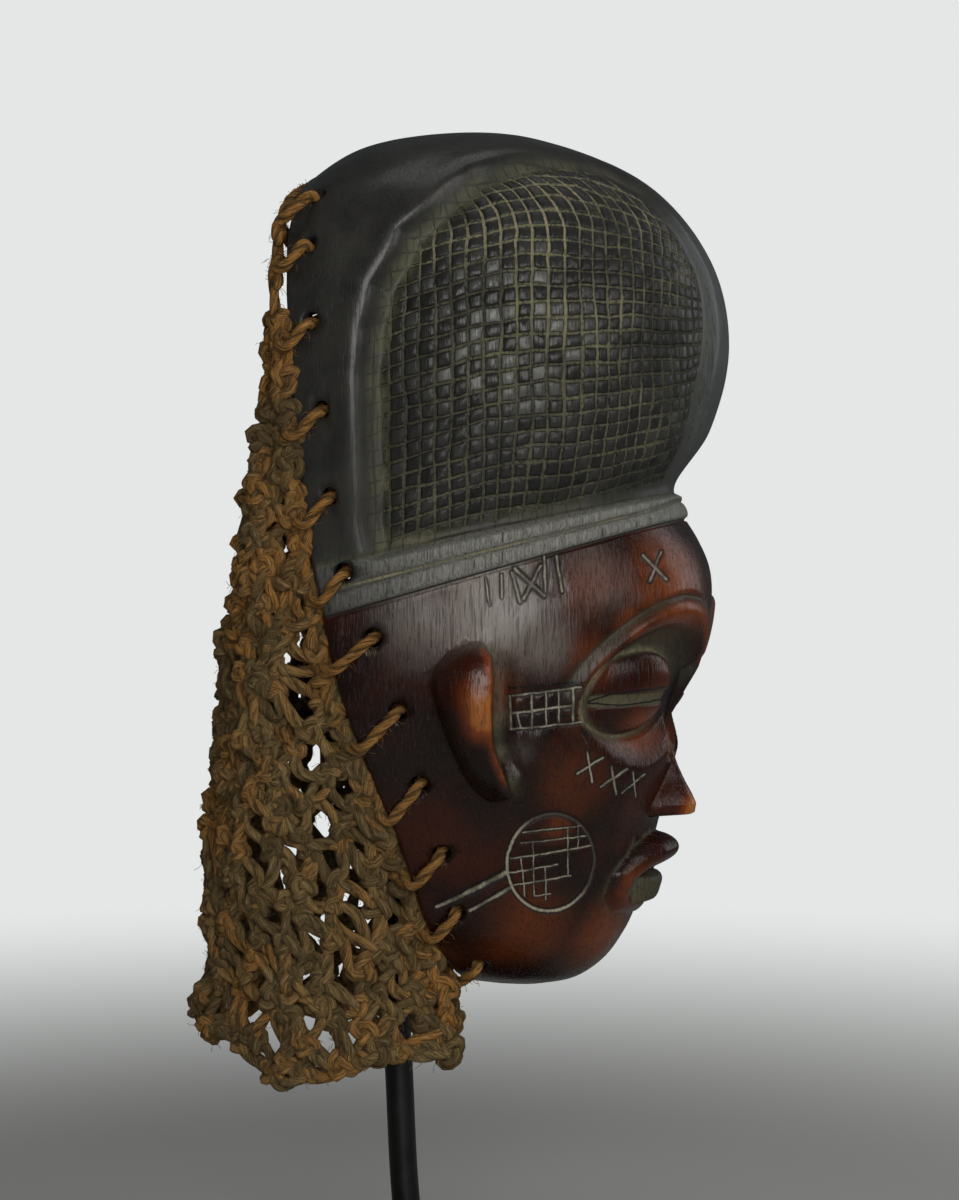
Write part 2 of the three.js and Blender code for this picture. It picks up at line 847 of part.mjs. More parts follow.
// Front edge below the jaw: height, half width, depth.
const NET_FRONT = [
  [-40, 35, -24],
  [-21, 33, -21.5],
  [6, 31, -17],
  [19, 36, -12.4],
];
const edgeByHeight = [];
for (let u = 0.4; u < LAST - 0.3; u += 0.1) {
  const r = rimFrame(u);
  edgeByHeight.push([r.z, r.x, r.y]);
}
edgeByHeight.reverse();
function netSection(z, grow, ahead) {
  const rows = edgeByHeight;
  let fx, fy;
  if (z > 19) {
    fx = table(rows.map((r) => [r[0], r[1]]), z) - 3;
    fy = table(rows.map((r) => [r[0], r[2]]), z) + NET_GAP;
  } else {
    fx = table(NET_FRONT, z);
    fy = table(NET_FRONT.map(([a, , b]) => [a, b]), z);
  }
  const yb = table(NET_BACK, z);
  const wide = max(fx, min(table(NET_WIDE, z), fx + (yb - fy) * 0.5));
  const ys = fy + 0.38 * (yb - fy);
  const half = ahead ? [[fx - grow, fy - ahead]] : [];
  for (let k = 0; k < 4; k++) {
    const s = k / 4;
    half.push([
      fx - grow + (wide - fx) * sin((PI / 2) * s),
      fy + (ys - fy) * s,
    ]);
  }
  for (let k = 0; k <= 6; k++) {
    const a = (PI / 2) * (k / 6),
      r = (abs(cos(a)) ** 2.3 + sin(a) ** 2.3) ** (-1 / 2.3);
    half.push([
      (wide - grow) * r * cos(a) * (k === 6 ? 0 : 1),
      ys + (yb - grow - ys) * r * sin(a),
    ]);
  }
  return [...half.map(([x, y]) => [-x, y]), ...half.slice(0, -1).reverse()];
}
// Uneven lower hem, from the front edge to the middle of the back.
const HEM = [-22, -21, -20, -20, -30, -28, -22, -16, -16, -19, -20];
const NET_TOP = 240;
const NET_ROWS = [NET_TOP, 234, 222, 203, 172, 138, 104, 72, 42, 20, 6, -6];
// Closed bag of the net's outer shape, drawn in, carried ahead and carried down.
function netBag(grow, ahead, drop) {
  const rows = [[raise([0, 34, NET_TOP + 2 - grow])]];
  for (const z of NET_ROWS)
    rows.push(
      netSection(z, grow, ahead).map(([x, y]) => raise([x, y, min(z, NET_TOP - grow)])),
    );
  const low = netSection(-20, grow, ahead);
  const extra = (low.length - 2 * HEM.length + 1) / 2;
  rows.push(
    low.map(([x, y], i) => {
      const k = max(0, min(i, low.length - 1 - i) - extra);
      return raise([x, y, HEM[k] - drop]);
    }),
  );
  rows.push([raise([0, 10, -22 - drop])]);
  return skin(rows, low.length);
}
const net = netBag(0, 0, 0).subtract(netBag(NET_T, 20, 20));

// Stand.
const TIP_Y = -44; // where the rod's end meets the inside of the crown
const probe = tube([raise([0, TIP_Y, 230]), raise([0, TIP_Y, 330])], ROD_R + 0.6, 8)
  .intersect(core)
  .getMesh();
let crown = 1e9; // lowest point of the hollow's roof over the rod's end
for (let i = 0; i < probe.numVert; i++) {
  const z = probe.vertProperties[i * probe.numProp + 2];
  if (z > CHIN + 235) crown = min(crown, z);
}
const rod = tube(
  [
    [0, 0.2, PLATE.thick + FIT],
    [0, 0.2, PLATE.thick + 3],
    [0, 2.4, CHIN - 79.5],
    [0, 5, CHIN - 31.9],
    [0, 11.3, CHIN + 84],
    [0, 18.2, CHIN + 210],
    [0, 18.6, CHIN + 222],
    [0, 16.5, CHIN + 235],
    [0, 11, CHIN + 246],
    [0, 2, CHIN + 253.5],
    [0, -10, CHIN + 257.5],
    [0, -22, CHIN + 260],
    [0, -33, CHIN + 263.5],
    [0, -40.5, CHIN + 269],
    [0, TIP_Y, CHIN + 276],
    [0, TIP_Y, crown - FIT],
  ],
  ROD_R,
  10,
);

const wear = (color, roughness, metalness = 0) =>
  new THREE.MeshStandardMaterial({ color, roughness, metalness });

const root = new THREE.Group();
root.name = "mask_on_stand";
root.add(meshOf(wood, "mask", wear(0x4a1f12, 0.4)));
root.add(meshOf(net, "net", wear(0x8a6a42, 0.95)));
root.add(meshOf(lacing, "lacing_cord", wear(0x96713f, 0.95)));
root.add(meshOf(rod, "stand_rod", wear(0x111111, 0.4, 0.6)));

const plate = new THREE.Mesh(
  new THREE.BoxGeometry(PLATE.side, PLATE.side, PLATE.thick),
  wear(0x121212, 0.45, 0.6),
);
plate.name = "stand_base";
plate.position.z = PLATE.thick / 2;
root.add(plate);

export default root;
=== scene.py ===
"""Carved wooden face mask with a knotted fibre net, held up by a steel rod on a foot plate.

Metres, +Z up, the face looks towards -Y. Sizes are written in millimetres and scaled once.
"""
import math

import bpy
import numpy as np
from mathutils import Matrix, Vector


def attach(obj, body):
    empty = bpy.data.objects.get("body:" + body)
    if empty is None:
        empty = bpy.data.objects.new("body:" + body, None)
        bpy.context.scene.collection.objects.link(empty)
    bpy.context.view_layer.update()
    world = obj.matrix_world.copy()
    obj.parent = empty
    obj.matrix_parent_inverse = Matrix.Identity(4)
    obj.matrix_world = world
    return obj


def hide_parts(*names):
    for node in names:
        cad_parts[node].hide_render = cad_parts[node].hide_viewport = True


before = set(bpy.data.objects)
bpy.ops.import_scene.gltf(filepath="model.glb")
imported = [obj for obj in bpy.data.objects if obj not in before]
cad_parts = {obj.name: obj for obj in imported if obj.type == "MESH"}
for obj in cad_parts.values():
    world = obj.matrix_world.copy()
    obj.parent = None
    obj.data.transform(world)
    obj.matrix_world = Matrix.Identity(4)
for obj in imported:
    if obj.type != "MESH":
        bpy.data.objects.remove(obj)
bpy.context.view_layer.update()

# View and light.
# The camera stands level with the face and a little in front of its side, 1.2 m away.
# The room is plain and pale: soft window light from the side and the front.
VIEW_AZIMUTH = math.radians(-77)
VIEW_ELEVATION = math.radians(3)
VIEW_DISTANCE = 1.2
VIEW_TARGET = Vector((0, -0.0246, 0.246))
VIEW_LENS = 101.99
SENSOR_WIDE = 36
NEAREST_SEEN = 0.01

away = Vector((
    math.sin(VIEW_AZIMUTH) * math.cos(VIEW_ELEVATION),
    -math.cos(VIEW_AZIMUTH) * math.cos(VIEW_ELEVATION),
    math.sin(VIEW_ELEVATION),
))
camera = bpy.data.objects.new("camera", bpy.data.cameras.new("camera"))
camera.data.sensor_width = SENSOR_WIDE
camera.data.lens = VIEW_LENS
camera.data.clip_start = NEAREST_SEEN
camera.location = VIEW_TARGET + away * VIEW_DISTANCE
camera.rotation_euler = (-away).to_track_quat("-Z", "Y").to_euler()
bpy.context.collection.objects.link(camera)
bpy.context.scene.camera = camera


def soft_light(name, place, size, power, tint):
    """Soft box at a place, turned to the middle of the mask; its size is in metres, its power in watts."""
    lamp = bpy.data.lights.new(name, "AREA")
    lamp.shape = "RECTANGLE"
    lamp.size, lamp.size_y = size
    lamp.energy = power
    lamp.color = tint
    holder = bpy.data.objects.new(name, lamp)
    holder.location = place
    holder.rotation_euler = (VIEW_TARGET - Vector(place)).to_track_quat("-Z", "Y").to_euler()
    bpy.context.collection.objects.link(holder)


soft_light("window_side", (-1.4, -0.52, 0.52), (0.95, 0.8), 12, (1.0, 0.99, 0.96))
soft_light("window_front", (-0.75, -1.5, 0.75), (0.7, 1.0), 5, (1.0, 0.99, 0.96))
soft_light("window_far", (0.9, -1.1, 0.7), (0.7, 1.2), 3, (0.92, 0.96, 1.0))
soft_light("ceiling", (0.1, -0.1, 1.7), (1.0, 1.0), 3, (1.0, 1.0, 0.98))


# Floor and air.
# A pale floor that fades out into a plain pale room, so nothing but the object is seen.
class Shade:
    """A node socket. Arithmetic on it adds Math nodes; node() adds any other node."""

    def __init__(self, tree, socket=None):
        self.tree = tree
        self.socket = socket

    def node(self, kind, settings=None, values=None, out=0):
        """Add a node of this type, set its settings first, then its sockets' values or links."""
        made = self.tree.nodes.new(kind)
        for key, setting in (settings or {}).items():
            setattr(made, key, setting)
        for key, value in (values or {}).items():
            if isinstance(value, Shade):
                self.tree.links.new(value.socket, made.inputs[key])
            else:
                made.inputs[key].default_value = value
        return Shade(self.tree, made.outputs[out])

    def maths(self, operation, *terms, clamp=False):
        """A Math node on these numbers or values."""
        settings = {"operation": operation, "use_clamp": clamp}
        return self.node("ShaderNodeMath", settings, dict(enumerate(terms)))

    def __add__(self, other):
        return self.maths("ADD", self, other)

    def __sub__(self, other):
        return self.maths("SUBTRACT", self, other)

    def __rsub__(self, other):
        return self.maths("SUBTRACT", other, self)

    def __mul__(self, other):
        return self.maths("MULTIPLY", self, other)

    __radd__ = __add__
    __rmul__ = __mul__

    def clip(self):
        """The value held between 0 and 1."""
        return self.maths("ADD", self, 0, clamp=True)

    def between(self, low, high):
        """0 below low, 1 above high, eased between them."""
        return self.node(
            "ShaderNodeMapRange",
            {"interpolation_type": "SMOOTHSTEP"},
            {"Value": self, "From Min": low, "From Max": high},
        )

    def mix(self, below, above):
        """This value as the share of one colour over another."""
        return self.node("ShaderNodeMix", {"data_type": "RGBA"}, {0: self, 6: below, 7: above}, out=2)

    def place(self, scale=(1, 1, 1)):
        """Object coordinates in metres, scaled."""
        spot = self.node("ShaderNodeTexCoord", out="Object")
        return self.node("ShaderNodeMapping", None, {0: spot, 3: scale})

    def noise(self, spot, scale, detail=3.0, rough=0.55):
        """Cloudy noise between about 0 and 1; scale counts its lumps in a metre."""
        values = {"Vector": spot, "Scale": scale, "Detail": detail, "Roughness": rough}
        return self.node("ShaderNodeTexNoise", None, values)

    def given(self, name):
        """A number kept on the mesh for each point."""
        return self.node("ShaderNodeAttribute", {"attribute_name": name}, out="Fac")

    def bump(self, height, depth, below=None, strength=1.0):
        """Normal of a fine relief of this height times this depth in metres, laid over another."""
        values = {"Height": height, "Distance": depth, "Strength": strength}
        if below:
            values["Normal"] = below
        return self.node("ShaderNodeBump", None, values)


def new_material(name):
    """Empty material with its shader and output joined; gives the material, a Shade and the shader."""
    made = bpy.data.materials.new(name)
    made.use_nodes = True
    tree = made.node_tree
    shader = tree.nodes["Principled BSDF"]
    return made, Shade(tree), shader


def join(value, shader, socket):
    """Let a value that changes over the surface feed a socket of the shader."""
    value.tree.links.new(value.socket, shader.inputs[socket])


def hold(shader, values):
    """Set the sockets of the shader that are the same all over the surface."""
    for name, value in values.items():
        shader.inputs[name].default_value = value


FLOOR_REACH = 1.1
FLOOR_SIDES = 96
FLOOR_DROP = 0.0002
turn = np.linspace(0, 2 * np.pi, FLOOR_SIDES + 1)[:-1]
rings = np.array([0.0001, 0.3, 0.7, FLOOR_REACH])
floor_points = np.stack([
    np.outer(rings, np.cos(turn)),
    np.outer(rings, np.sin(turn)),
    np.full((len(rings), FLOOR_SIDES), -FLOOR_DROP),
], -1).reshape(-1, 3)


def grid_faces(rows, columns):
    """Four-cornered faces of a grid of points kept row by row; the last column joins the first."""
    i, j = np.meshgrid(np.arange(rows - 1), np.arange(columns), indexing="ij")
    k = (j + 1) % columns
    quads = np.stack([i * columns + j, i * columns + k, (i + 1) * columns + k, (i + 1) * columns + j], -1)
    return quads.reshape(-1, 4)


def build(name, points, quads, corners=None):
    """Mesh object from an array of points in metres and arrays of four- and three-cornered faces."""
    parts = [part for part in (quads, corners) if part is not None and len(part)]
    loops = np.concatenate([part.ravel() for part in parts]).astype(np.int32)
    counts = np.concatenate([np.full(len(part), part.shape[1]) for part in parts])
    starts = np.concatenate([[0], np.cumsum(counts)[:-1]]).astype(np.int32)
    mesh = bpy.data.meshes.new(name)
    mesh.vertices.add(len(points))
    mesh.vertices.foreach_set("co", np.asarray(points, np.float32).ravel())
    mesh.loops.add(len(loops))
    mesh.loops.foreach_set("vertex_index", loops)
    mesh.polygons.add(len(counts))
    mesh.polygons.foreach_set("loop_start", starts)
    mesh.update(calc_edges=True)
    mesh.shade_smooth()
    made = bpy.data.objects.new(name, mesh)
    bpy.context.collection.objects.link(made)
    return made


def keep(piece, name, values):
    """Keep one number for each point of a piece."""
    layer = piece.data.attributes.new(name, "FLOAT", "POINT")
    layer.data.foreach_set("value", np.asarray(values, np.float32).ravel())


floor = build("floor", floor_points, grid_faces(len(rings), FLOOR_SIDES))
floor_look, ink, shader = new_material("pale_floor")
spot = ink.node("ShaderNodeTexCoord", out="Object")
distance = ink.node("ShaderNodeVectorMath", {"operation": "LENGTH"}, {0: spot}, out="Value")
hold(shader, {"Base Color": (0.50, 0.50, 0.48, 1), "Roughness": 0.8})
join(1 - distance.between(0.25, 1.0), shader, "Alpha")
floor.data.materials.append(floor_look)

room = bpy.data.worlds.new("room")
room.use_nodes = True
bpy.context.scene.world = room
air = Shade(room.node_tree)
seen = air.node("ShaderNodeBackground", None, {"Color": (0.78, 0.80, 0.79, 1), "Strength": 1.0})
lit = air.node("ShaderNodeBackground", None, {"Color": (0.80, 0.84, 0.88, 1), "Strength": 0.075})
ray = air.node("ShaderNodeLightPath", out="Is Camera Ray")
both = air.node("ShaderNodeMixShader", None, {0: ray, 1: lit, 2: seen})
room.node_tree.links.new(both.socket, room.node_tree.nodes["World Output"].inputs[0])
bpy.context.scene.view_settings.view_transform = "Standard"

# Mask: the wood.
# One block of light hardwood, carved outside with a knife and hollowed behind with an adze. Rounded
# sections follow each other from the crown's back edge over the face to the chin; everything cut
# into that form or left standing on it is a distance added to it.
MM = 0.001
CHIN = 110
WALL = 11.5
EDGE = 9.5
RIM_BACK = 2.2
INNER_ROUND = 1.4
# Sections: middle line Y and Z, edge half width, edge Y and Z, squareness. Z counts from the chin.
SECTIONS = np.array([
    [26.8, 287, 0, 26.8, 287, 2.4], [-4, 298, 48, 26, 278, 2.4], [-46, 297, 71, 24, 262, 2.35],
    [-85.5, 279.7, 78, 22.3, 243, 2.3], [-106.3, 253.3, 80, 21, 222, 2.3],
    [-112, 225.3, 79.7, 19.5, 200, 2.3], [-105.2, 195.5, 78.6, 16.8, 176, 2.3],
    [-93.4, 174.6, 77, 13.6, 152, 2.3],
    [-96.5, 165.3, 75.8, 10, 134.3, 2.25],
    [-101.8, 157, 75.3, 8.6, 124, 2.2], [-105.6, 148, 74.6, 6.5, 115, 2.2], [-106.6, 137, 73.8, 4, 106, 2.2],
    [-106, 126, 72.6, 1.5, 97, 2.2], [-103.5, 115, 71, -2, 88, 2.2], [-100, 104, 69, -5, 79, 2.2],
    [-97, 93, 66.5, -8, 70, 2.2], [-94.2, 82, 63.5, -11, 61.5, 2.15], [-91, 71, 60.5, -13, 53.5, 2.15],
    [-88, 60, 57.5, -14.7, 46, 2.1], [-85.7, 49.5, 53.5, -16.2, 38.5, 2.1],
    [-83.5, 39.5, 49.5, -17.4, 31.5, 2.1],
    [-80.5, 30, 45, -18.5, 25, 2.1], [-76.3, 20.5, 39.5, -19.6, 18.7, 2.1], [-70, 11.5, 32, -21.2, 12.5, 2.1],
    [-61.5, 4.5, 24, -22.6, 7.5, 2.1], [-50, 1.2, 15, -23.6, 4, 2.1], [-37, 0, 7, -24.4, 2, 2.1],
    [-25, 1, 0, -25, 1, 2.1],
])
LAST = len(SECTIONS) - 1


def smooth_between(f, low, high, span, low_slope, high_slope):
    """Cubic curve from low to high as f goes from 0 to 1, with the slopes given at both ends."""
    return (
        (2 * f**3 - 3 * f**2 + 1) * low + (f**3 - 2 * f**2 + f) * span * low_slope
        + (3 * f**2 - 2 * f**3) * high + (f**3 - f**2) * span * high_slope
    )


def through(rows):
    """Smooth curve through the rows of a table, its slopes weighted by the distance between rows."""
    steps = np.diff(rows, axis=0)
    span = 0.5 * (np.hypot(steps[:, 0], steps[:, 1]) + np.linalg.norm(steps[:, 2:5], axis=1))[:, None]
    slope = np.empty_like(rows)
    before, after = span[:-1], span[1:]
    slope[1:-1] = (steps[1:] / after * before + steps[:-1] / before * after) / (after + before)
    slope[0] = 2 * steps[0] / span[0] - slope[1]
    slope[-1] = 2 * steps[-1] / span[-1] - slope[-2]

    def at(u):
        u = np.clip(np.asarray(u, float), 0, len(rows) - 1)
        i = np.minimum(u.astype(int), len(rows) - 2)
        return smooth_between((u - i)[..., None], rows[i], rows[i + 1], span[i], slope[i], slope[i + 1])

    return at


section = through(SECTIONS)


def squared_off(angle, power):
    """How far a superellipse of half width 1 lies from its middle at this angle; power 2 is a circle."""
    cosine, sine = np.maximum(np.cos(angle), 0), np.abs(np.sin(angle))
    return (cosine**power + sine**power) ** (-1 / power)


def form(u, t):
    """Smooth outer form: u runs down the sections, t across one from edge (-1) to edge (1).

    Each section is a quarter of a superellipse on either side of the middle line.
    """
    s = section(u)
    angle = np.asarray(t, float) * np.pi / 2
    r = squared_off(angle, s[..., 5])
    k = r * np.maximum(np.cos(angle), 0)
    return np.stack([
        s[..., 2] * r * np.sin(angle),
        s[..., 3] + (s[..., 0] - s[..., 3]) * k,
        s[..., 4] + (s[..., 1] - s[..., 4]) * k,
    ], -1)


def unit(vectors):
    """The vectors with their length made 1."""
    return vectors / np.maximum(np.linalg.norm(vectors, axis=-1, keepdims=True), 1e-9)


# A point well inside the mask, and the steps in u and t over which a direction is taken.
INNER_POINT = (0, -20, 150)
STEP_U, STEP_T = 0.01, 0.004


def outward(u, t):
    """Direction square to the smooth form, from the form a little above, below and to the sides."""
    u = np.clip(u, 2 * STEP_U, LAST - 2 * STEP_U)
    down = form(u + STEP_U, t) - form(u - STEP_U, t)
    across = form(u, t + STEP_T) - form(u, t - STEP_T)
    n = np.cross(across, down)
    out = (n * (form(u, t) - INNER_POINT)).sum(-1)
    return unit(n * np.where(out < 0, -1, 1)[..., None])


def ease(low, high, x):
    """0 at low, 1 at high, eased between them."""
    k = np.clip((x - low) / (high - low), 0, 1)
    return k * k * (3 - 2 * k)


def soft_max(a, b, width):
    """The larger of two numbers, rounded where they cross."""
    k = np.clip(0.5 + 0.5 * (a - b) / width, 0, 1)
    return b + (a - b) * k + width * k * (1 - k)


def waver(points, size, seed):
    """Smooth random height between about -1 and 1: a sum of slanting waves of about one size."""
    rng = np.random.default_rng(seed)
    total = np.zeros(points.shape[:-1])
    for wave in range(9):
        direction = unit(rng.normal(size=points.shape[-1]))
        pitch = size * rng.uniform(0.6, 1.7)
        total = total + np.sin(points @ direction * (2 * np.pi / pitch) + rng.uniform(0, 6.28))
    return total / 3.6


def to_line(points, start, end):
    """Distance of each point from the straight line between two ends."""
    a, b = np.array(start, float), np.array(end, float)
    share = np.clip((points - a) @ (b - a) / ((b - a) @ (b - a)), 0, 1)
    return np.linalg.norm(points - a - share[..., None] * (b - a), axis=-1)


def folded(points):
    """The points with those of the far side brought over to the near side."""
    near = points.copy()
    near[:, 0] = np.abs(near[:, 0])
    return near


# Border of the hatched panel on each side of the coiffure: u, distance from the middle as t,
# and how deep the trough inside the border is.
PANEL = np.array([
    [7.15, 0.87, 4.5], [6.6, 0.88, 5.2], [6.01, 0.88, 5.4], [5.3, 0.88, 5.4], [4.6, 0.875, 5.4],
    [3.99, 0.86, 5.2], [3.47, 0.83, 5], [2.87, 0.75, 4.8], [2.53, 0.61, 4.4], [2.41, 0.53, 4],
    [2.38, 0.4, 3.6], [2.47, 0.27, 3.2], [2.68, 0.15, 2.8], [3.03, 0.11, 2.4], [3.45, 0.11, 2.2],
    [4.03, 0.11, 2.2], [4.5, 0.12, 2.4], [5.0, 0.14, 2.6], [5.45, 0.155, 2.6], [5.9, 0.14, 2.4],
    [6.4, 0.1, 2], [6.85, 0.07, 1.6], [7.02, 0.12, 1.8], [7.05, 0.25, 2.2], [7.07, 0.45, 2.6],
    [7.1, 0.58, 3], [7.12, 0.74, 3.4], [7.13, 0.84, 4],
])
BORDER_PIECES = 4


def panel_depth(points, u, t):
    """Distance inside the panel's border (less than 0 outside it) and the trough's depth there.

    The distance is that from the nearest of the straight pieces which join the border's points; a
    point is inside where a line from it along u crosses the border an odd number of times.
    """
    ends = np.roll(PANEL, -1, axis=0)
    shares = np.arange(BORDER_PIECES)[:, None, None] / BORDER_PIECES
    border = (PANEL + (ends - PANEL) * shares).transpose(1, 0, 2).reshape(-1, 3)
    places = form(border[:, 0], border[:, 1])
    near = np.full(len(u), 1e9)
    deep = np.zeros(len(u))
    side = folded(points)
    for a, b, deep_a, deep_b in zip(places, np.roll(places, -1, 0), border[:, 2], np.roll(border[:, 2], -1)):
        run = b - a
        k = np.clip((side - a) @ run / (run @ run), 0, 1)
        gap = ((side - a - k[:, None] * run) ** 2).sum(-1)
        closer = gap < near
        near = np.where(closer, gap, near)
        deep = np.where(closer, deep_a + (deep_b - deep_a) * k, deep)
    inside = np.zeros(len(u), bool)
    for (ua, ta, _), (ub, tb, _) in zip(PANEL, ends):
        crosses = (ta > t) != (tb > t)
        inside ^= crosses & (u < (ub - ua) * (t - ta) / (tb - ta + 1e-12) + ua)
    return np.sqrt(near) * np.where(inside, 1, -1), deep


# Hatching: the distance between upright cuts and between level ones, and where the count starts.
PITCH_P, PITCH_Q = 5.3, 5.35
HATCH_BACK, HATCH_FOOT = 11.7, 154
LINES = 64
# How much a point comes forward, as seen square to the cheek, for each millimetre of its x and -y.
# The hatching takes -y with a share of its own.
SIDE_SHARE, FRONT_SHARE, HATCH_SHARE = 0.2246, 0.974, 0.973


def hatch(points):
    """Depth of the crossed cuts of the panel, 0 to 1 across each cut, each cell's height, and the count.

    The cuts run up and down and from back to front, one at each whole number of p and of q. Both
    bend with the panel's border: the upright ones lean back towards the top, the level ones drop
    towards the back and the front.
    """
    ahead = HATCH_BACK - SIDE_SHARE * np.abs(points[:, 0]) - HATCH_SHARE * points[:, 1]
    height = points[:, 2] - HATCH_FOOT
    lean = (5.3 + 10.5 * ahead / 105) * (np.maximum(height - 107, 0) / 20) ** 2
    tuck = 5.3 * (ahead / 105) ** 2 * (np.maximum(57 - height, 0) / 35) ** 2
    wander = 0.55 * waver(points, 26, 3) + 0.22 * waver(points, 8, 4)
    along = ahead + lean + tuck + wander
    p = along / PITCH_P + 0.00188 * np.maximum(along - 65, 0) ** 2
    arch = np.interp(height, [11, 79, 120], [-12, 0, 15])
    behind = 44 - ahead
    drop = 0.15 * (behind + np.sqrt(behind**2 + 200)) + arch * (np.maximum(ahead - 52, 0) / 48) ** 2
    level = height + drop + 0.5 * waver(points, 24, 5) + 0.2 * waver(points, 7, 6)
    q = (level + 4 * ((level - 66) / 66) ** 3) / PITCH_Q
    rng = np.random.default_rng(11)
    depths = rng.uniform(0.72, 1.1, (2, LINES))
    widths = rng.uniform(0.7, 1.3, (2, LINES))
    worn = 1 + 0.3 * waver(points, 13, 8)
    cuts = []
    for count, pitch, deep, wide in zip((p, q), (PITCH_P, PITCH_Q), depths, widths):
        line = np.round(count).astype(int) % LINES
        gap = np.abs(count - np.round(count)) * pitch
        cuts.append((1 - ease(0.2, 0.8, gap / (wide[line] * worn))) * deep[line])
    cell = np.floor(p).astype(int) % LINES, np.floor(q).astype(int) % LINES
    return np.maximum(*cuts), rng.uniform(-1, 1, (LINES, LINES))[cell], p, q


def rounded_off(u):
    """How far the coiffure's back edge is drawn in, so that the band beside it rolls over."""
    return 3.2 * ease(0.6, 1.6, u) * ease(7.15, 6.6, u)


def coiffure(points, u, t):
    """Height of the coiffure over the form, the dust on it, how far it is hatched, and p and q.

    A low ridge runs round the panel; inside it the surface drops by the trough's depth and swells
    again towards the panel's middle, less the hatching's cuts.
    """
    d, deep = panel_depth(points, u, np.abs(t))
    ridge = 1.3 * np.exp(-(((d + 8) / 5) ** 2)) * ease(2, 5, deep)
    swell = (deep + 1.6) * (1 - np.exp(-np.maximum(d - 3, 0) / 13))
    height = ridge - deep * ease(-6, 2.5, d) + swell
    height = height - rounded_off(u) * (np.maximum(np.abs(t) - 0.885, 0) / 0.115) ** 2
    cut, cell, p, q = hatch(points)
    front = 1 - 0.4 * ease(78, 108, HATCH_BACK - HATCH_SHARE * points[:, 1])
    active = ease(2.2, 4.4, d + 0.7 * waver(points, 9, 19)) * front
    height = height - 0.75 * cut * active + 0.16 * cell * active * (1 - cut)
    trough = ease(-3.5, 0.0, d) * (1 - ease(3, 8, d)) * ease(1.2, 4, deep)
    dust = 0.55 * trough * (0.8 + 0.3 * waver(points, 14, 9))
    return height, np.clip(dust, 0, 1), active, p, q


# Headband: where it starts, its cut and its lower edge, as u.
BAND_TOP, BAND_CUT, BAND_FOOT = 7.1, 7.56, 8.03


def headband(points, u, t):
    """Height and dust of the headband: two half-round rolls with a dusty cut between them."""
    split = BAND_CUT - 0.2 * np.exp(-((t / 0.16) ** 2))

    def roll(a, b):
        return np.sqrt(np.clip(1 - ((2 * u - a - b) / (b - a)) ** 2, 0, 1)) ** 0.8

    edge = ease(1.0, 0.93, np.abs(t))
    lower = 2.0 * roll(split, BAND_FOOT) * (u > split)
    upper = 1.8 * roll(BAND_TOP, split) * (u < split) * edge
    under = 0.8 * np.exp(-(((u - 8.08) / 0.05) ** 2))
    seam = np.exp(-(((u - split) / 0.045) ** 2))
    lip = 0.6 * np.exp(-(((u - 7.07) / 0.09) ** 2))
    dust = np.clip(0.9 * seam * (0.8 + 0.4 * waver(points, 20, 12)) + 0.6 * lip, 0, 1)
    return upper + lower - under - 0.5 * seam, dust


# Ears: thick lobes, rounded behind, with a steep front edge. Z, then Y of the edge.
EAR_BACK = np.array([
    [70, -43], [74, -38.5], [78, -35.5], [82, -33.5], [88, -31], [98, -27.5], [110, -24.5], [117, -25.5],
    [122, -30], [125.5, -37],
])
EAR_FRONT = np.array([
    [72, -46], [74, -49], [85, -45.8], [92, -43.8], [105, -43.5], [114, -44.5], [121, -44], [125.5, -41],
])
EAR_TALL = np.array([[72, 5.5], [80, 8.2], [92, 10], [104, 11.5], [126, 11.5]])


def ear(points):
    """Height of the ear over the form; where a point is across it (0 behind, 1 in front); its ends."""
    y, z = points[:, 1], points[:, 2]
    back = np.interp(z, *EAR_BACK.T)
    front = np.interp(z, *EAR_FRONT.T)
    ends = np.sqrt(np.clip(1 - np.abs((z - 98.7) / 27) ** 3.4, 0, 1))
    share = (back - y) / np.maximum(back - front, 0.5)
    hollow = -2.4 * ease(front + 1, front - 1, y) * ease(front - 9, front - 4, y)
    hollow = hollow * ease(78, 86, z) * ease(124, 116, z)
    dome = np.sin(np.pi / 2 * np.clip(share / 0.78, 0, 1)) ** 0.8
    tall = np.interp(z, *EAR_TALL.T)
    height = np.where(share > 0, tall * ends * dome * ease(front - 1.2, front + 0.4, y), 0) + hollow
    return height, share, ends


# Nose: Z, distance forward of the form, then half width.
NOSE = np.array([
    [62.2, 13], [63.4, 12.9], [66, 12.6], [69.4, 10.2], [73, 7.2], [79, 2.6], [84, -0.6], [91, -4],
    [97, -4.9], [101, -3.7], [106, -2.5], [113.6, -0.5], [120, 0],
])
NOSE_WIDE = np.array([
    [62, 13], [66, 12.5], [70, 11], [74, 9], [80, 6.5], [86, 5], [92, 4], [98, 3.4], [106, 3], [120, 3],
])
# Lips: x, z, distance forward, half thickness, from the middle of the upper lip round the corner.
LIPS = np.array([
    [0, 50, 10.2, 6], [9, 49, 9, 5.8], [16, 46.6, 7, 5.2], [21, 42, 5, 4.2], [21, 36.6, 4.4, 3.8],
    [17, 32.4, 3.6, 3.4], [8, 30.6, 2.8, 3], [0, 30.2, 2.6, 3],
])
# Brow: angle round the socket, then its outer edge as a share of the socket.
BROW = np.array([
    [-40, 1.1], [10, 1.1], [29, 1.12], [45, 1.15], [61, 1.2], [74, 1.24], [91, 1.28], [123, 1.38],
    [180, 1.42],
])


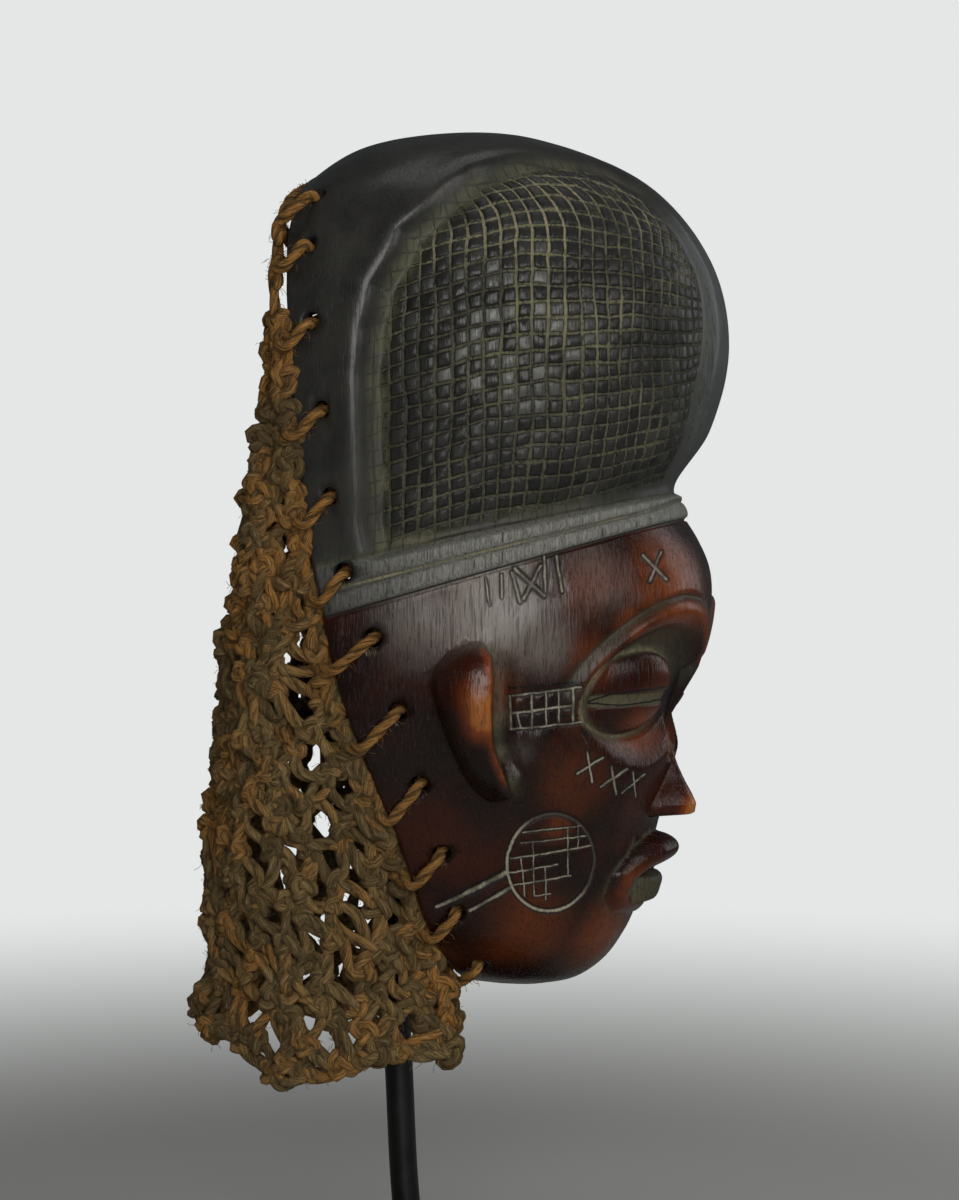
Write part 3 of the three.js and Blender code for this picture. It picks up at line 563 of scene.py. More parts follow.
def features(points):
    """Distance forward of the form of brow, socket, eye, nose and lips; dust, polish and darkening there, the
    darkening partly painted shade.

    Socket and eye are ellipses seen from the front, the nose a ridge, the lips a ridge round a ring.
    """
    x, z = np.abs(points[:, 0]), points[:, 2]
    # Distance from the middle of the socket, 1 at its edge, and the angle round it.
    across, up = (x - 27) / 27.5, (z - 105.7) / 26
    socket = np.hypot(across, up)
    turn = np.degrees(np.arctan2(up, across))
    rim = 0.18 + 0.26 * ease(0.1, -0.9, up / np.maximum(socket, 1e-3))
    sunk = ease(0, 1, (1 - socket) / rim)
    sunk = np.maximum(sunk, ease(12, 8, x) * ease(80, 88, z) * ease(119, 112, z))
    out = -6.4 * sunk
    far = np.interp(turn, *BROW.T)
    share = (socket - 1) / (far - 1)
    fade = ease(84, 96, z)
    brow = np.where((share > 0) & (share < 1), np.sin(np.pi * np.clip(share, 0, 1)) ** 0.7, 0) * fade
    edge = np.exp(-(((socket - far) / 0.055) ** 2)) * fade
    out = out + 1.9 * brow * (0.35 + 0.65 * ease(6, 26, x)) - 1.3 * edge * ease(4, 20, x)
    # The eye in the same way, with the slit between its lids.
    eye = np.hypot((x - 35.5) / 18.6, (z - 107) / 14.2)
    lens = (1 - np.clip(eye, 0, 1) ** 2.4) ** 0.55
    slit = ease(102.0, 103.4, z) * ease(107.9, 106.6, z) * ease(1, 0.9, eye)
    out = out + np.where(eye < 1, 6.6 * lens - 1.3 * slit, 0)
    wide = np.interp(z, *NOSE_WIDE.T)
    nose = np.interp(z, *NOSE.T) - 14 * (x / wide) ** 2 - 20 * ease(62.4, 61.4, z)
    out = np.where((z > 61.4) & (z < 121), soft_max(out, nose, 1.2), out)
    lip = np.zeros(len(x))
    for a, b in zip(LIPS, LIPS[1:]):
        line = b[:2] - a[:2]
        k = np.clip(((x - a[0]) * line[0] + (z - a[1]) * line[1]) / (line @ line), 0, 1)
        row = a + (b - a) * k[:, None]
        q = np.hypot(x - row[:, 0], z - row[:, 1]) / row[:, 3]
        lip = np.maximum(lip, row[:, 2] * np.clip(1 - q * q, 0, 1) ** 0.62)
    out = np.where(lip > 0.01, soft_max(out, lip, 0.6), out)
    block = np.maximum((x / 14.5) ** 4, ((z - 36.2) / 5.2) ** 4)
    lower = 7 * np.clip(1 - block, 0, 1) ** 0.3 - 0.12 * x
    out = np.where(block < 1, np.maximum(out, lower), out)
    ring = np.exp(-(((np.hypot(x / 25, (z - 40) / 16.5) - 1) / 0.08) ** 2))
    on_lid, beside_lid = ease(0.97, 0.8, eye), ease(1.0, 1.15, eye)
    # Dust round the eye, in the slit, over the brow, on the lower lip, in the socket below the eye and
    # round the mouth; in the socket above the eye the same mark is a painted sheen.
    dust = np.maximum.reduce([
        0.75 * np.exp(-(((eye - 1.05) / 0.08) ** 2)) * (socket < 1.02),
        0.55 * slit * (eye < 1),
        0.3 * edge * ease(100, 118, z),
        0.42 * ease(1.15, 0.9, block),
        0.24 * sunk * beside_lid * ease(104, 114, z),
        0.3 * sunk * ease(1.0, 1.1, eye) * ease(1.25, 1.12, eye) * ease(102, 94, z),
        0.3 * ring * ease(0.2, 0.0, lip),
    ])
    # Polish on the brow, below the eye, on the lower and the upper lid, the lips and the nose's tip.
    glow = np.maximum.reduce([
        brow * (0.1 + 0.5 * ease(55, 90, turn)),
        0.45 * sunk * beside_lid * ease(98, 88, z),
        0.55 * on_lid * (1 - slit) * ease(106, 96, z) * ease(44, 30, x),
        0.22 * on_lid * (z > 105) * ease(44, 26, x),
        0.4 * ease(1.5, 5, lip) * (block > 1) * ease(50, 40, z),
        0.9 * ease(8, 12, nose) * (z < 75) * (z > 61),
    ])
    # Painted shade in the socket above the eye and in the groove over the brow, and a darker lower lip.
    dark = np.maximum.reduce([
        0.8 * sunk * ease(0.92, 1.1, eye) * ease(98, 112, z),
        0.9 * edge * ease(4, 14, x) * ease(92, 110, z),
        0.5 * ease(1.15, 0.9, block),
    ])
    return out, dust, glow, dark


# Cuts: the scars of the face as straight knife strokes, the same on both cheeks. Each is two ends,
# (how far forward, height) as seen square to the cheek, then its half width. The disc is a ring.
BROW_STROKES = [
    (25.9, 147, 27.4, 138, 0.4), (31.3, 148, 31.4, 140.6, 0.5), (34.8, 148.7, 37.4, 139, 0.6),
    (35.8, 149.9, 45.5, 141, 0.75), (44.3, 151, 38.7, 140, 0.65), (45.5, 154.5, 46, 142.3, 0.6),
    (49.5, 154.2, 51.5, 142.4, 0.6), (79.2, 153.7, 87.3, 145.5, 0.7), (85.5, 154.7, 81.5, 145, 0.65),
]
CHEEK_STROKES = [
    (56.8, 80.6, 65.6, 85.5, 0.6), (60.2, 88, 62, 77.2, 0.55), (65.1, 75.2, 74.1, 80.9, 0.6),
    (68.8, 82, 70.4, 72.3, 0.55), (72.6, 72.5, 80.7, 78.3, 0.45), (76.3, 79.5, 77.6, 70.4, 0.4),
]
TEMPLE_STROKES = [
    (33.8, 107.5, 57.8, 110.2, 0.55), (34.6, 101.7, 55.5, 104.1, 0.6), (34.4, 96.3, 58, 98.2, 0.5),
    (34.3, 107, 34.5, 96.5, 0.6), (36.6, 101.5, 37.8, 97, 0.45), (41.5, 107.6, 41.4, 96.5, 0.55),
    (46.2, 108.8, 46.3, 97.5, 0.42), (50.4, 109, 50.6, 98, 0.42), (55.3, 109.6, 55.3, 97.9, 0.6),
]
DISC_STROKES = [
    (38.6, 60.6, 58.5, 62, 0.42), (38, 56.8, 60, 58.2, 0.38), (34.6, 51.4, 62, 54.6, 0.48),
    (33.9, 46.3, 50.5, 48.6, 0.42), (35.6, 41.8, 55, 44.4, 0.42), (42.8, 37.6, 48.2, 38.2, 0.35),
    (38, 52, 39.4, 37.6, 0.38), (42, 57.5, 42.6, 38, 0.34), (46.2, 48, 46.7, 36, 0.38),
    (53.9, 61.8, 54.1, 44.6, 0.3), (57.4, 62, 57.5, 54, 0.3),
]
STRIP_STROKES = [
    (9.6, 33.9, 20, 39.2, 1.0), (20, 39.2, 33, 46.3, 1.2), (20.8, 32.6, 29, 37.6, 0.8),
    (29, 37.6, 34.8, 41, 0.95),
]
PALE_STROKES = BROW_STROKES + CHEEK_STROKES + TEMPLE_STROKES + DISC_STROKES + STRIP_STROKES
# The disc's middle, seen in the same way, then its half width and half height.
DISC = (48.2, 49.3, 14.9, 17.4)


def flat_on(points):
    """Points as seen square to the cheek: how far forward, and height."""
    return np.stack([-SIDE_SHARE * np.abs(points[:, 0]) - FRONT_SHARE * points[:, 1], points[:, 2]], -1)


def scars(points):
    """Depth of all the knife strokes of the face: a rounded cut along each, and round the disc."""
    seen = flat_on(points)
    total = np.zeros(len(points))
    for s0, z0, s1, z1, half in PALE_STROKES:
        near = to_line(seen, (s0, z0), (s1, z1)) + 0.1 * waver(points, 5, 21)
        total = np.maximum(total, (0.2 + 0.4 * half) * np.clip(1 - (near / (half * 1.6)) ** 2, 0, 1))
    ring = np.hypot((seen[:, 0] - DISC[0]) / DISC[2], (seen[:, 1] - DISC[1]) / DISC[3]) - 1
    ring = ring * DISC[2] + 0.25 * waver(points, 16, 22)
    return np.maximum(total, 0.6 * np.clip(1 - (ring / 1.2) ** 2, 0, 1))


# Where hands have polished the stain to orange, though the place on the ear is a painted highlight;
# where the stain is made darker, which round and below the ear is painted shade; and where a painted
# sheen lies on the temples, the forehead and below the eye: x, Y, Z on one side, reach, amount.
WARM = [
    (28, -98, 143, 28, 0.65), (56, -78, 146, 18, 0.3), (44, -86, 131, 10, 0.6), (52, -76, 119, 13, 0.35),
    (50, -70, 76, 20, 0.24), (20, -78, 16, 26, 0.5), (46, -62, 62, 9, 0.35), (44, -52, 22, 28, 0.42),
    (66, -44, 108, 14, 0.25),
]
DARKENED_AND_SHADE_PLACES = [
    (68, -14, 92, 36, 0.8), (46, -30, 30, 24, 0.85), (62, -46, 66, 22, 0.75), (38, -64, 44, 16, 0.45),
    (74, -6, 130, 24, 0.45), (70, -20, 118, 16, 0.7), (36, -70, 62, 12, 0.4),
]
SHEEN_PLACES = [(68, -46, 137, 28, 0.9), (62, -62, 124, 14, 0.5), (72, -22, 134, 24, 0.5), (64, -54, 88, 8, 0.3)]


def carved(u, t):
    """Outer surface with all its carving, and the finish of each point."""
    points = form(u, t)
    n = outward(u, t)
    zeros = np.zeros(len(u))
    names = ("dust", "glow", "dark", "bloom", "hatched", "count_back", "count_level")
    finish = {name: zeros.copy() for name in names}
    lift, forward = zeros.copy(), zeros.copy()
    head = u < 7.6
    height, head_dust, hatched, p, q = coiffure(points[head], u[head], t[head])
    lift[head] += height * (u[head] < 7.2)
    finish["dust"][head] = head_dust * (u[head] < 7.12)
    finish["hatched"][head] = hatched * (u[head] < 7.12)
    finish["count_back"][head] = p
    finish["count_level"][head] = q
    band = (u > 6.9) & (u < 8.4)
    height, band_dust = headband(points[band], u[band], t[band])
    lift[band] += height
    finish["dust"][band] = np.maximum(finish["dust"][band], band_dust)
    face = (u > 8.0) & (u < 25)
    side = points[face]
    height, share, ends = ear(side)
    smooth_ear = ease(6, 0.5, np.abs(height))
    ahead, face_dust, lightened, shade = features(side)
    lift[face] += height - scars(side) * smooth_ear
    forward[face] = ahead * ease(0.97, 0.86, np.abs(t[face]))
    front_ear = ease(6, 1, np.abs(height)) * ease(1.5, 1.05, share) * (share > 0.98) * ease(0.1, 0.5, ends)
    finish["dust"][face] = np.maximum(face_dust, 0.6 * front_ear * (0.75 + 0.4 * waver(side, 9, 31)))
    z = side[:, 2]
    # The ear's upper front and its front ridge are lightened with the polish: a painted highlight.
    lobe = ease(3, 9, height) * (0.8 * ease(0.3, 0.7, share) * ease(92, 100, z) * ease(118, 108, z))
    ridge = ease(3, 6, height) * ease(0.82, 0.96, share) * ease(76, 82, z)
    finish["glow"][face] = np.maximum.reduce([lightened, lobe, 0.6 * ridge])
    # The ear's lower part is darkened: painted shade.
    under_ear = ease(2, 5, height) * ease(98, 88, z) * ease(0.92, 0.8, share)
    finish["dark"][face] = np.maximum(shade, 0.85 * under_ear)
    mirrored = folded(points)
    for name, places in (("glow", WARM), ("dark", DARKENED_AND_SHADE_PLACES), ("bloom", SHEEN_PLACES)):
        for *middle, reach, amount in places:
            away = np.linalg.norm(mirrored - middle, axis=1)
            finish[name] = np.maximum(finish[name], amount * ease(reach, reach * 0.15, away))
    finish["bloom"][face] *= ease(7, 2, height)
    # On the black part the same mark places painted sheen: glare on the cells in the panel's middle, a bluish
    # sheen on the front edge and a sheen on the headband, broken by its scratches.
    seen = flat_on(points)
    black_sheen = ease(40, 10, np.hypot(seen[:, 0] - 32, seen[:, 1] - 228))
    black_sheen = np.maximum(black_sheen, 0.6 * ease(80, 108, seen[:, 0]))
    black_sheen = np.where(u > 7.1, 0.3 + 0.7 * ease(-30, 25, seen[:, 0]), black_sheen)
    finish["bloom"] = np.where(u > 8.04, finish["bloom"], black_sheen)
    moved = points + n * lift[:, None] + np.array([0, -1, 0]) * forward[:, None]
    # Knife facets: the whole surface wavers a little, the polished coiffure less than the face.
    facets = 0.26 * waver(points, 34, 41) + 0.09 * waver(points, 11, 42)
    return moved + n * (facets * (0.2 + 0.8 * ease(7.5, 8.5, u)))[:, None], finish


def way_down(u, columns):
    """Direction in which two numbers of the sections go as u grows."""
    before, after = section(np.maximum(u - 0.05, 0)), section(np.minimum(u + 0.05, LAST))
    return unit(after[:, columns] - before[:, columns])


def edge_frame(u):
    """Edge of the wood at u: its point, and the direction outwards across it, seen from behind."""
    along = way_down(u, [2, 4])
    return section(u)[:, 2:5], np.stack([-along[:, 1], along[:, 0]], 1)


def hollow(u, t):
    """Inner surface: the form drawn in by the wall, rough from the adze."""
    s = section(u)
    edge, out = edge_frame(u)
    run = way_down(u, [0, 1])
    inward = np.stack([-run[:, 1], run[:, 0]], 1)
    wrong = (inward * (s[:, :2] - INNER_POINT[1:])).sum(1) > 0
    inward[wrong] *= -1
    rim = np.stack([
        edge[:, 0] - EDGE * out[:, 0], edge[:, 1] + RIM_BACK - INNER_ROUND, edge[:, 2] - EDGE * out[:, 1],
    ], 1)
    middle = s[:, :2] + inward * WALL
    whole = (ease(0, 0.8, u) * ease(LAST, LAST - 1.0, u))[:, None]
    middle = rim[:, 1:] + (middle - rim[:, 1:]) * whole
    angle = t * np.pi / 2
    r = squared_off(angle, 2.15)
    k = (r * np.maximum(np.cos(angle), 0))[:, None]
    yz = rim[:, 1:] + (middle - rim[:, 1:]) * k
    points = np.concatenate([(rim[:, 0] * r * np.sin(angle))[:, None], yz], 1)
    rough = (0.5 * waver(points, 17, 51) + 0.25 * waver(points, 7, 52)) * ease(0, 0.25, k[:, 0]) * whole[:, 0]
    pull = unit(points - np.array([0, 10, 150]))
    return points + pull * rough[:, None]


def rim_points(u, side, count):
    """Back of the edge from outside to inside: a flat band with both corners rounded off."""
    edge, out = edge_frame(u)
    across = EDGE * (1 - np.cos(np.linspace(0, np.pi, count + 2)[1:-1])) / 2
    rise = RIM_BACK * np.sqrt(1 - (1 - np.clip(across / 2.4, 0, 1)) ** 2)
    fall = INNER_ROUND * (1 - np.sqrt(1 - np.clip((across - EDGE + 2) / 2, 0, 1) ** 2))
    across = across + rounded_off(u)[:, None] * (1 - across / EDGE)
    x = side * (edge[:, :1] - out[:, :1] * across)
    y = edge[:, 1:2] + (rise - fall)
    z = edge[:, 2:3] - out[:, 1:] * across
    points = np.stack(np.broadcast_arrays(x, y, z), -1)
    points[..., 1] += 0.2 * waver(points, 12, 61)
    return points


# The grid of the surface: how fine it is, and about how far the wood measures down and across.
FINE = 0.62
DOWN_WOOD, ACROSS_WOOD = 470, 300
ROWS = int(DOWN_WOOD / FINE)
ACROSS = int(ACROSS_WOOD / FINE)
RIM_COUNT = 7
INSIDE = ACROSS // 4
many_u = np.linspace(0, LAST, 2000)
lengths = np.linalg.norm(np.diff(form(many_u, 0.45), axis=0), axis=1)
travel = np.concatenate([[0], np.cumsum(lengths + 0.02)])
rows_u = np.interp(np.linspace(0, travel[-1], ROWS), travel, many_u)
cols_t = np.linspace(-1, 1, ACROSS)
grid_u, grid_t = np.meshgrid(rows_u, cols_t, indexing="ij")
outer, finish = carved(grid_u.ravel(), grid_t.ravel())
inner_t = np.linspace(1, -1, INSIDE)
in_u, in_t = np.meshgrid(rows_u, inner_t, indexing="ij")
inner = hollow(in_u.ravel(), in_t.ravel()).reshape(ROWS, INSIDE, 3)
right = rim_points(rows_u, 1, RIM_COUNT)
left = rim_points(rows_u, -1, RIM_COUNT)[:, ::-1]
body = np.concatenate([outer.reshape(ROWS, ACROSS, 3), right, inner, left], 1)
# At the crown's back edge and at the chin both sides run together in one line down the middle.
inner_first = ACROSS + RIM_COUNT
for row in (0, -1):
    seam = (right[row] + left[row, ::-1]) / 2 * (0, 1, 1)
    for stretch in (slice(ACROSS), slice(inner_first, inner_first + INSIDE)):
        body[row, stretch] = body[row, stretch].mean(0) * (0, 1, 1)
    body[row, ACROSS:inner_first] = seam
    body[row, inner_first + INSIDE :] = seam[::-1]
AROUND = body.shape[1]
marks = {name: np.zeros((ROWS, AROUND)) for name in (*finish, "raw", "level")}
for name, values in finish.items():
    marks[name][:, :ACROSS] = values.reshape(ROWS, ACROSS)
marks["raw"][:, inner_first - 2 : inner_first + INSIDE + 2] = 1
marks["level"][:] = rows_u[:, None]


def weld(points, quads, marks):
    """Join points that share a place, and turn four-cornered faces that lost a corner into three."""
    _, first, back = np.unique(np.round(points, 4), axis=0, return_index=True, return_inverse=True)
    faces = back.reshape(-1)[quads]
    same = faces == np.roll(faces, -1, axis=1)
    whole = faces[~same.any(1)]
    thin = faces[same.sum(1) == 1]
    gone = same[same.sum(1) == 1]
    corners = thin[~gone].reshape(-1, 3)
    return points[first], whole, corners, {key: values.ravel()[first] for key, values in marks.items()}


flat = body.reshape(-1, 3) + (0, 0, CHIN)
skin, four, three, marks = weld(flat, grid_faces(ROWS, AROUND), marks)
# The grid's faces look into the wood, so each is turned round.
wood = build("mask_carved", skin * MM, four[:, ::-1], three[:, ::-1])
for name, values in marks.items():
    keep(wood, name, values)


def settle(piece, *modifiers):
    """Give the piece the mesh that its modifiers make, and take them off."""
    for kind, settings in modifiers:
        made = piece.modifiers.new(kind.lower(), kind)
        for key, setting in settings.items():
            setattr(made, key, setting)
    ready = piece.evaluated_get(bpy.context.evaluated_depsgraph_get())
    mesh = bpy.data.meshes.new_from_object(ready)
    piece.modifiers.clear()
    piece.data = mesh


# Lacing holes: 12 down each edge, drilled nearly square to the wood. Each is u and t.
HOLES = np.array([
    [1.54, 0.9], [2.37, 0.95], [3.62, 0.965], [4.95, 0.96], [6.15, 0.96], [7.3, 0.95],
    [9.12, 0.92], [11.87, 0.91], [14.55, 0.91], [17.38, 0.905], [20.14, 0.9], [23.18, 0.865],
])
HOLE_R = 3.2
HOLE_SIDES = 20
hole_u = np.tile(HOLES[:, 0], 2)
hole_t = np.concatenate([-HOLES[:, 1], HOLES[:, 1]])
hole_at = form(hole_u, hole_t) + (0, 0, CHIN)
hole_way = unit(outward(hole_u, hole_t) * (1, 0.35, 1))


def carry(paths, radius, around, profile=None):
    """Tubes along many paths of equal length at once.

    paths is an array (path, point, 3). Each path's frame is carried along it without twist; the
    section is a circle, or profile(path, point, angle) times the radius. Ends are closed by a cap point.
    """
    paths = np.asarray(paths, float)
    many, long = paths.shape[:2]
    run = unit(np.gradient(paths, axis=1))
    across = np.cross(run[:, 0], [0.3, 0.5, 0.8])
    frames = np.empty_like(paths)
    for step in range(long):
        across = unit(across - (across * run[:, step]).sum(1, keepdims=True) * run[:, step])
        frames[:, step] = across
    up = np.cross(run, frames)
    angle = np.linspace(0, 2 * np.pi, around, endpoint=False)
    size = np.broadcast_to(np.asarray(radius, float), (many, long))[..., None] * np.ones(around)
    if profile is not None:
        size = size * profile(np.arange(many)[:, None, None], np.arange(long)[None, :, None], angle)
    ring = (
        paths[:, :, None]
        + frames[:, :, None] * (size * np.cos(angle))[..., None]
        + up[:, :, None] * (size * np.sin(angle))[..., None]
    )
    tip = size.mean(-1)[:, [0, -1], None] * 0.6
    caps = paths[:, [0, -1]] + run[:, [0, -1]] * tip * np.array([-1, 1])[:, None]
    block = long * around + 2
    points = np.concatenate([ring.reshape(many, -1, 3), caps], 1).reshape(-1, 3)
    sides = grid_faces(long, around)
    j = np.arange(around)
    k = (j + 1) % around
    start = np.stack([np.full(around, long * around), k, j], -1)
    last = (long - 1) * around
    stop = np.stack([np.full(around, long * around + 1), last + j, last + k], -1)
    shift = (np.arange(many) * block)[:, None, None]
    return points, (sides + shift).reshape(-1, 4), (np.concatenate([start, stop]) + shift).reshape(-1, 3)


# Each drill runs from inside the hollow to well outside the wood, and widens from the form outwards.
drill_ends = np.array([-24, -12, -4, 0, 0.8, 1.6, 9])
drill_paths = hole_at[:, None] + hole_way[:, None] * drill_ends[:, None]
drill_size = np.array([1, 1, 1, 1.0, 1.12, 1.45, 1.9]) * HOLE_R
drill_points, drill_four, drill_three = carry(drill_paths, drill_size, HOLE_SIDES)
drills = build("drills", drill_points * MM, drill_four, drill_three)
MOST_TRIANGLES = 188000
settle(wood, ("BOOLEAN", {"operation": "DIFFERENCE", "object": drills, "solver": "MANIFOLD"}))
# The points that the drills have made carry no marks yet: they get the level of their hole, and the
# wall of each hole is made dark.
spots = np.empty(len(wood.data.vertices) * 3, np.float32)
wood.data.vertices.foreach_get("co", spots)
level, dark = np.empty((2, len(wood.data.vertices)), np.float32)
for name, values in (("level", level), ("dark", dark)):
    wood.data.attributes[name].data.foreach_get("value", values)
bare = level <= 0
from_holes = np.linalg.norm(spots.reshape(-1, 1, 3)[bare] - hole_at * MM, axis=-1)
level[bare] = hole_u[from_holes.argmin(1)]
dark[bare] = 1
for name, values in (("level", level), ("dark", dark)):
    wood.data.attributes[name].data.foreach_set("value", values)
wood.data.calc_loop_triangles()
share_kept = MOST_TRIANGLES / len(wood.data.loop_triangles)
settle(wood, ("DECIMATE", {"ratio": share_kept, "use_collapse_triangulate": True}))
bpy.data.objects.remove(drills)
wood.data.shade_smooth()
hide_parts("mask")
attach(wood, "root")

# Mask: the finish of the wood.
# A dark red-brown stain, worn to orange where hands polish it, and a black lacquer on the coiffure
# and the headband, both scratched along the grain. Olive dust lies in every cut. Light and shade are
# painted on in places: sheens and highlights, and shade in cuts, grooves and hollows.
STAIN_DARK, STAIN_RED = (0.009, 0.0026, 0.0014, 1), (0.038, 0.0066, 0.0022, 1)
POLISH_AND_HIGHLIGHT, BARE_AND_HIGHLIGHT = (0.28, 0.060, 0.0065, 1), (0.50, 0.20, 0.04, 1)
STREAK, DARKENED_AND_SHADE, PAINTED_SHEEN = (0.009, 0.0038, 0.003, 1), (0.0075, 0.0052, 0.0042, 1), (0.33, 0.30, 0.265, 1)
CUT_SHADE, FINE_LINE_AND_SHADE = (0.0075, 0.0048, 0.0038, 1), (0.006, 0.0045, 0.004, 1)
LACQUER, LACQUER_THIN = (0.020, 0.0194, 0.0174, 1), (0.036, 0.035, 0.031, 1)
LACQUER_STREAK, LACQUER_DEEP = (0.050, 0.048, 0.042, 1), (0.0055, 0.0053, 0.0047, 1)
CELL_GLARE, BAND_SHADE_LINE = (0.16, 0.16, 0.145, 1), (0.008, 0.0075, 0.0065, 1)
RIM_SHEEN, BAND_SHEEN = (0.15, 0.17, 0.165, 1), (0.30, 0.298, 0.268, 1)
OLIVE_DARK, OLIVE, OLIVE_GRIT = (0.042, 0.042, 0.027, 1), (0.19, 0.185, 0.112, 1), (0.014, 0.014, 0.0105, 1)
DUST_DIM, DUST_GREEN, DUST_PALE = (0.042, 0.043, 0.023, 1), (0.115, 0.115, 0.064, 1), (0.27, 0.235, 0.15, 1)
DUST_TOP, DUST_CUT, HAIRLINE = (0.36, 0.31, 0.20, 1), (0.34, 0.315, 0.235, 1), (0.014, 0.014, 0.011, 1)
RAW_DARK, RAW_PALE, PORE = (0.030, 0.018, 0.011, 1), (0.065, 0.041, 0.024, 1), (0.005, 0.004, 0.0035, 1)

wood_look, ink, shader = new_material("carved_wood")
dust = ink.given("dust")
lightened = ink.given("glow")
darkening_and_shade = ink.given("dark")
rough_wood = ink.given("raw")
bloom = ink.given("bloom")
level = ink.given("level")
soot = 1 - level.between(8.04, 8.09)
grain = ink.place(scale=(1, 1, 0.06))
pores = ink.noise(grain, 1500, 2, 0.6)
streaks = ink.noise(grain, 620, 3, 0.65)
spots = ink.noise(ink.place(), 24, 4, 0.6)
cloud = ink.noise(ink.place(), 60, 4, 0.65)
fine = ink.noise(ink.place(), 900, 2, 0.6)

# Knife strokes: the distance from the nearest one, in half widths, as seen square to the cheek.
spot = ink.node("ShaderNodeTexCoord", out="Object")
axes = {axis: ink.node("ShaderNodeSeparateXYZ", None, {0: spot}, out=axis) for axis in "XYZ"}
ahead = ink.maths("ABSOLUTE", axes["X"]) * (-SIDE_SHARE / MM) - axes["Y"] * (FRONT_SHARE / MM)
wobble = (ink.noise(ink.place(), 260, 2) - 0.5) * 0.9
seen = ink.node("ShaderNodeCombineXYZ", None, {
    "X": ahead + wobble, "Y": axes["Z"] * (1 / MM) - CHIN - wobble, "Z": 0.0,
})


def vector(operation, *terms, out=0):
    """A Vector Math node on these vectors."""
    return ink.node("ShaderNodeVectorMath", {"operation": operation}, dict(enumerate(terms)), out=out)


def nearest(strokes):
    """Distance from the nearest of these strokes, counted in its half width."""
    least = None
    for s0, z0, s1, z1, half in strokes:
        long = math.hypot(s1 - s0, z1 - z0)
        run = ((s1 - s0) / long, (z1 - z0) / long, 0)
        offset = vector("SUBTRACT", seen, (s0, z0, 0))
        share = ink.maths("DIVIDE", vector("DOT_PRODUCT", offset, run, out="Value"), long, clamp=True)
        foot = ink.node("ShaderNodeVectorMath", {"operation": "SCALE"}, {0: run, "Scale": share * long})
        gap = ink.maths("DIVIDE", vector("DISTANCE", offset, foot, out="Value"), half)
        least = gap if least is None else ink.maths("MINIMUM", least, gap)
    return least


# Strokes too fine to be cut into the mesh, drawn as dark lines: painted shade along the edges of the eye's
# slit, and dark lines beside those of the temple.
DARK_STROKES = [
    (60.5, 105, 70, 107.6, 0.35), (70, 107.6, 90, 108.6, 0.4), (60.5, 104.4, 72, 103.2, 0.35),
    (72, 103.2, 89, 104.2, 0.35), (33.8, 110.3, 57.8, 112, 0.4), (34.4, 99.5, 57, 100.6, 0.4),
]
DISC_LINE = 0.62
scored = nearest(PALE_STROKES)
ring = vector("MULTIPLY", vector("SUBTRACT", seen, (*DISC[:2], 0)), (1 / DISC[2], 1 / DISC[3], 0))
round_disc = vector("LENGTH", ring, out="Value")
disc_gap = ink.maths("ABSOLUTE", round_disc - 1) * (DISC[2] / DISC_LINE)
low_left = vector("DOT_PRODUCT", ring, (-0.75, -0.66, 0), out="Value").between(-0.35, 0.3)
outside = 1 - rough_wood
red_part = 1 - soot
knifed = ink.maths("MINIMUM", scored, disc_gap)
# Painted shade along the walls of each knife cut.
cut_shade = (1 - knifed.between(1.2, 2.4)) * outside * red_part
fades = ink.noise(ink.place(), 170, 2).between(0.36, 0.58)
dusty_cut = (1 - scored.between(0.2, 0.9)) * (0.35 + fades * 0.65)
dusty_ring = (1 - disc_gap.between(0.3, 1.0)) * (0.15 + low_left)
cut_dust = ink.maths("MAXIMUM", dusty_cut, dusty_ring) * outside * red_part
fine_line_and_shade = (1 - nearest(DARK_STROKES).between(0.6, 1.3)) * outside * red_part

# Hatching: a groove at each whole number of the two counts, and a chance value for each cell.
hatched = ink.given("hatched").between(0.15, 0.5)
counts = [ink.given(name) + (fine - 0.5) * 0.07 for name in ("count_back", "count_level")]
whole = [ink.maths("FLOOR", count) for count in counts]
inside_cell = [count - step for count, step in zip(counts, whole)]
cell = ink.node("ShaderNodeCombineXYZ", None, {"X": whole[0], "Y": whole[1], "Z": 0.0})
chance = ink.node("ShaderNodeTexWhiteNoise", {"noise_dimensions": "2D"}, {"Vector": cell}, out="Color")
luck = [ink.node("ShaderNodeSeparateColor", None, {0: chance}, out=part) for part in range(3)]
gaps = [0.5 - ink.maths("ABSOLUTE", part - 0.5) for part in inside_cell]
least_gap = ink.maths("MINIMUM", *gaps) - (cloud - 0.5) * 0.2
groove = (1 - least_gap.between(0.07, 0.15)) * hatched
steep = (1 - least_gap.between(0.12, 0.22)) * hatched
tilted = (inside_cell[0] - 0.5) * (luck[0] - 0.5) + (inside_cell[1] - 0.5) * (luck[1] - 0.4)
cells = hatched * (1 - groove)

# The red part: stain, polish with a painted highlight on the ear, bare wood at the most rubbed places, darker
# stain with painted shade, painted sheen and painted shade beside the cuts.
stain = spots.between(0.36, 0.66).mix(STAIN_DARK, STAIN_RED)
# Polish lightens the stain to orange; on the ear the same lightening is a painted highlight.
stain = (lightened * (spots * 1.1 + cloud * 0.9)).clip().mix(stain, POLISH_AND_HIGHLIGHT)
stain = (lightened.between(0.6, 0.85) * cloud).mix(stain, BARE_AND_HIGHLIGHT)
stain = (streaks.between(0.5, 0.7) * 0.4).mix(stain, STREAK)
# Darker stain, and painted shade in the socket, over the brow and under and round the ear.
stain = (darkening_and_shade * (0.6 + cloud * 0.6)).clip().mix(stain, DARKENED_AND_SHADE)
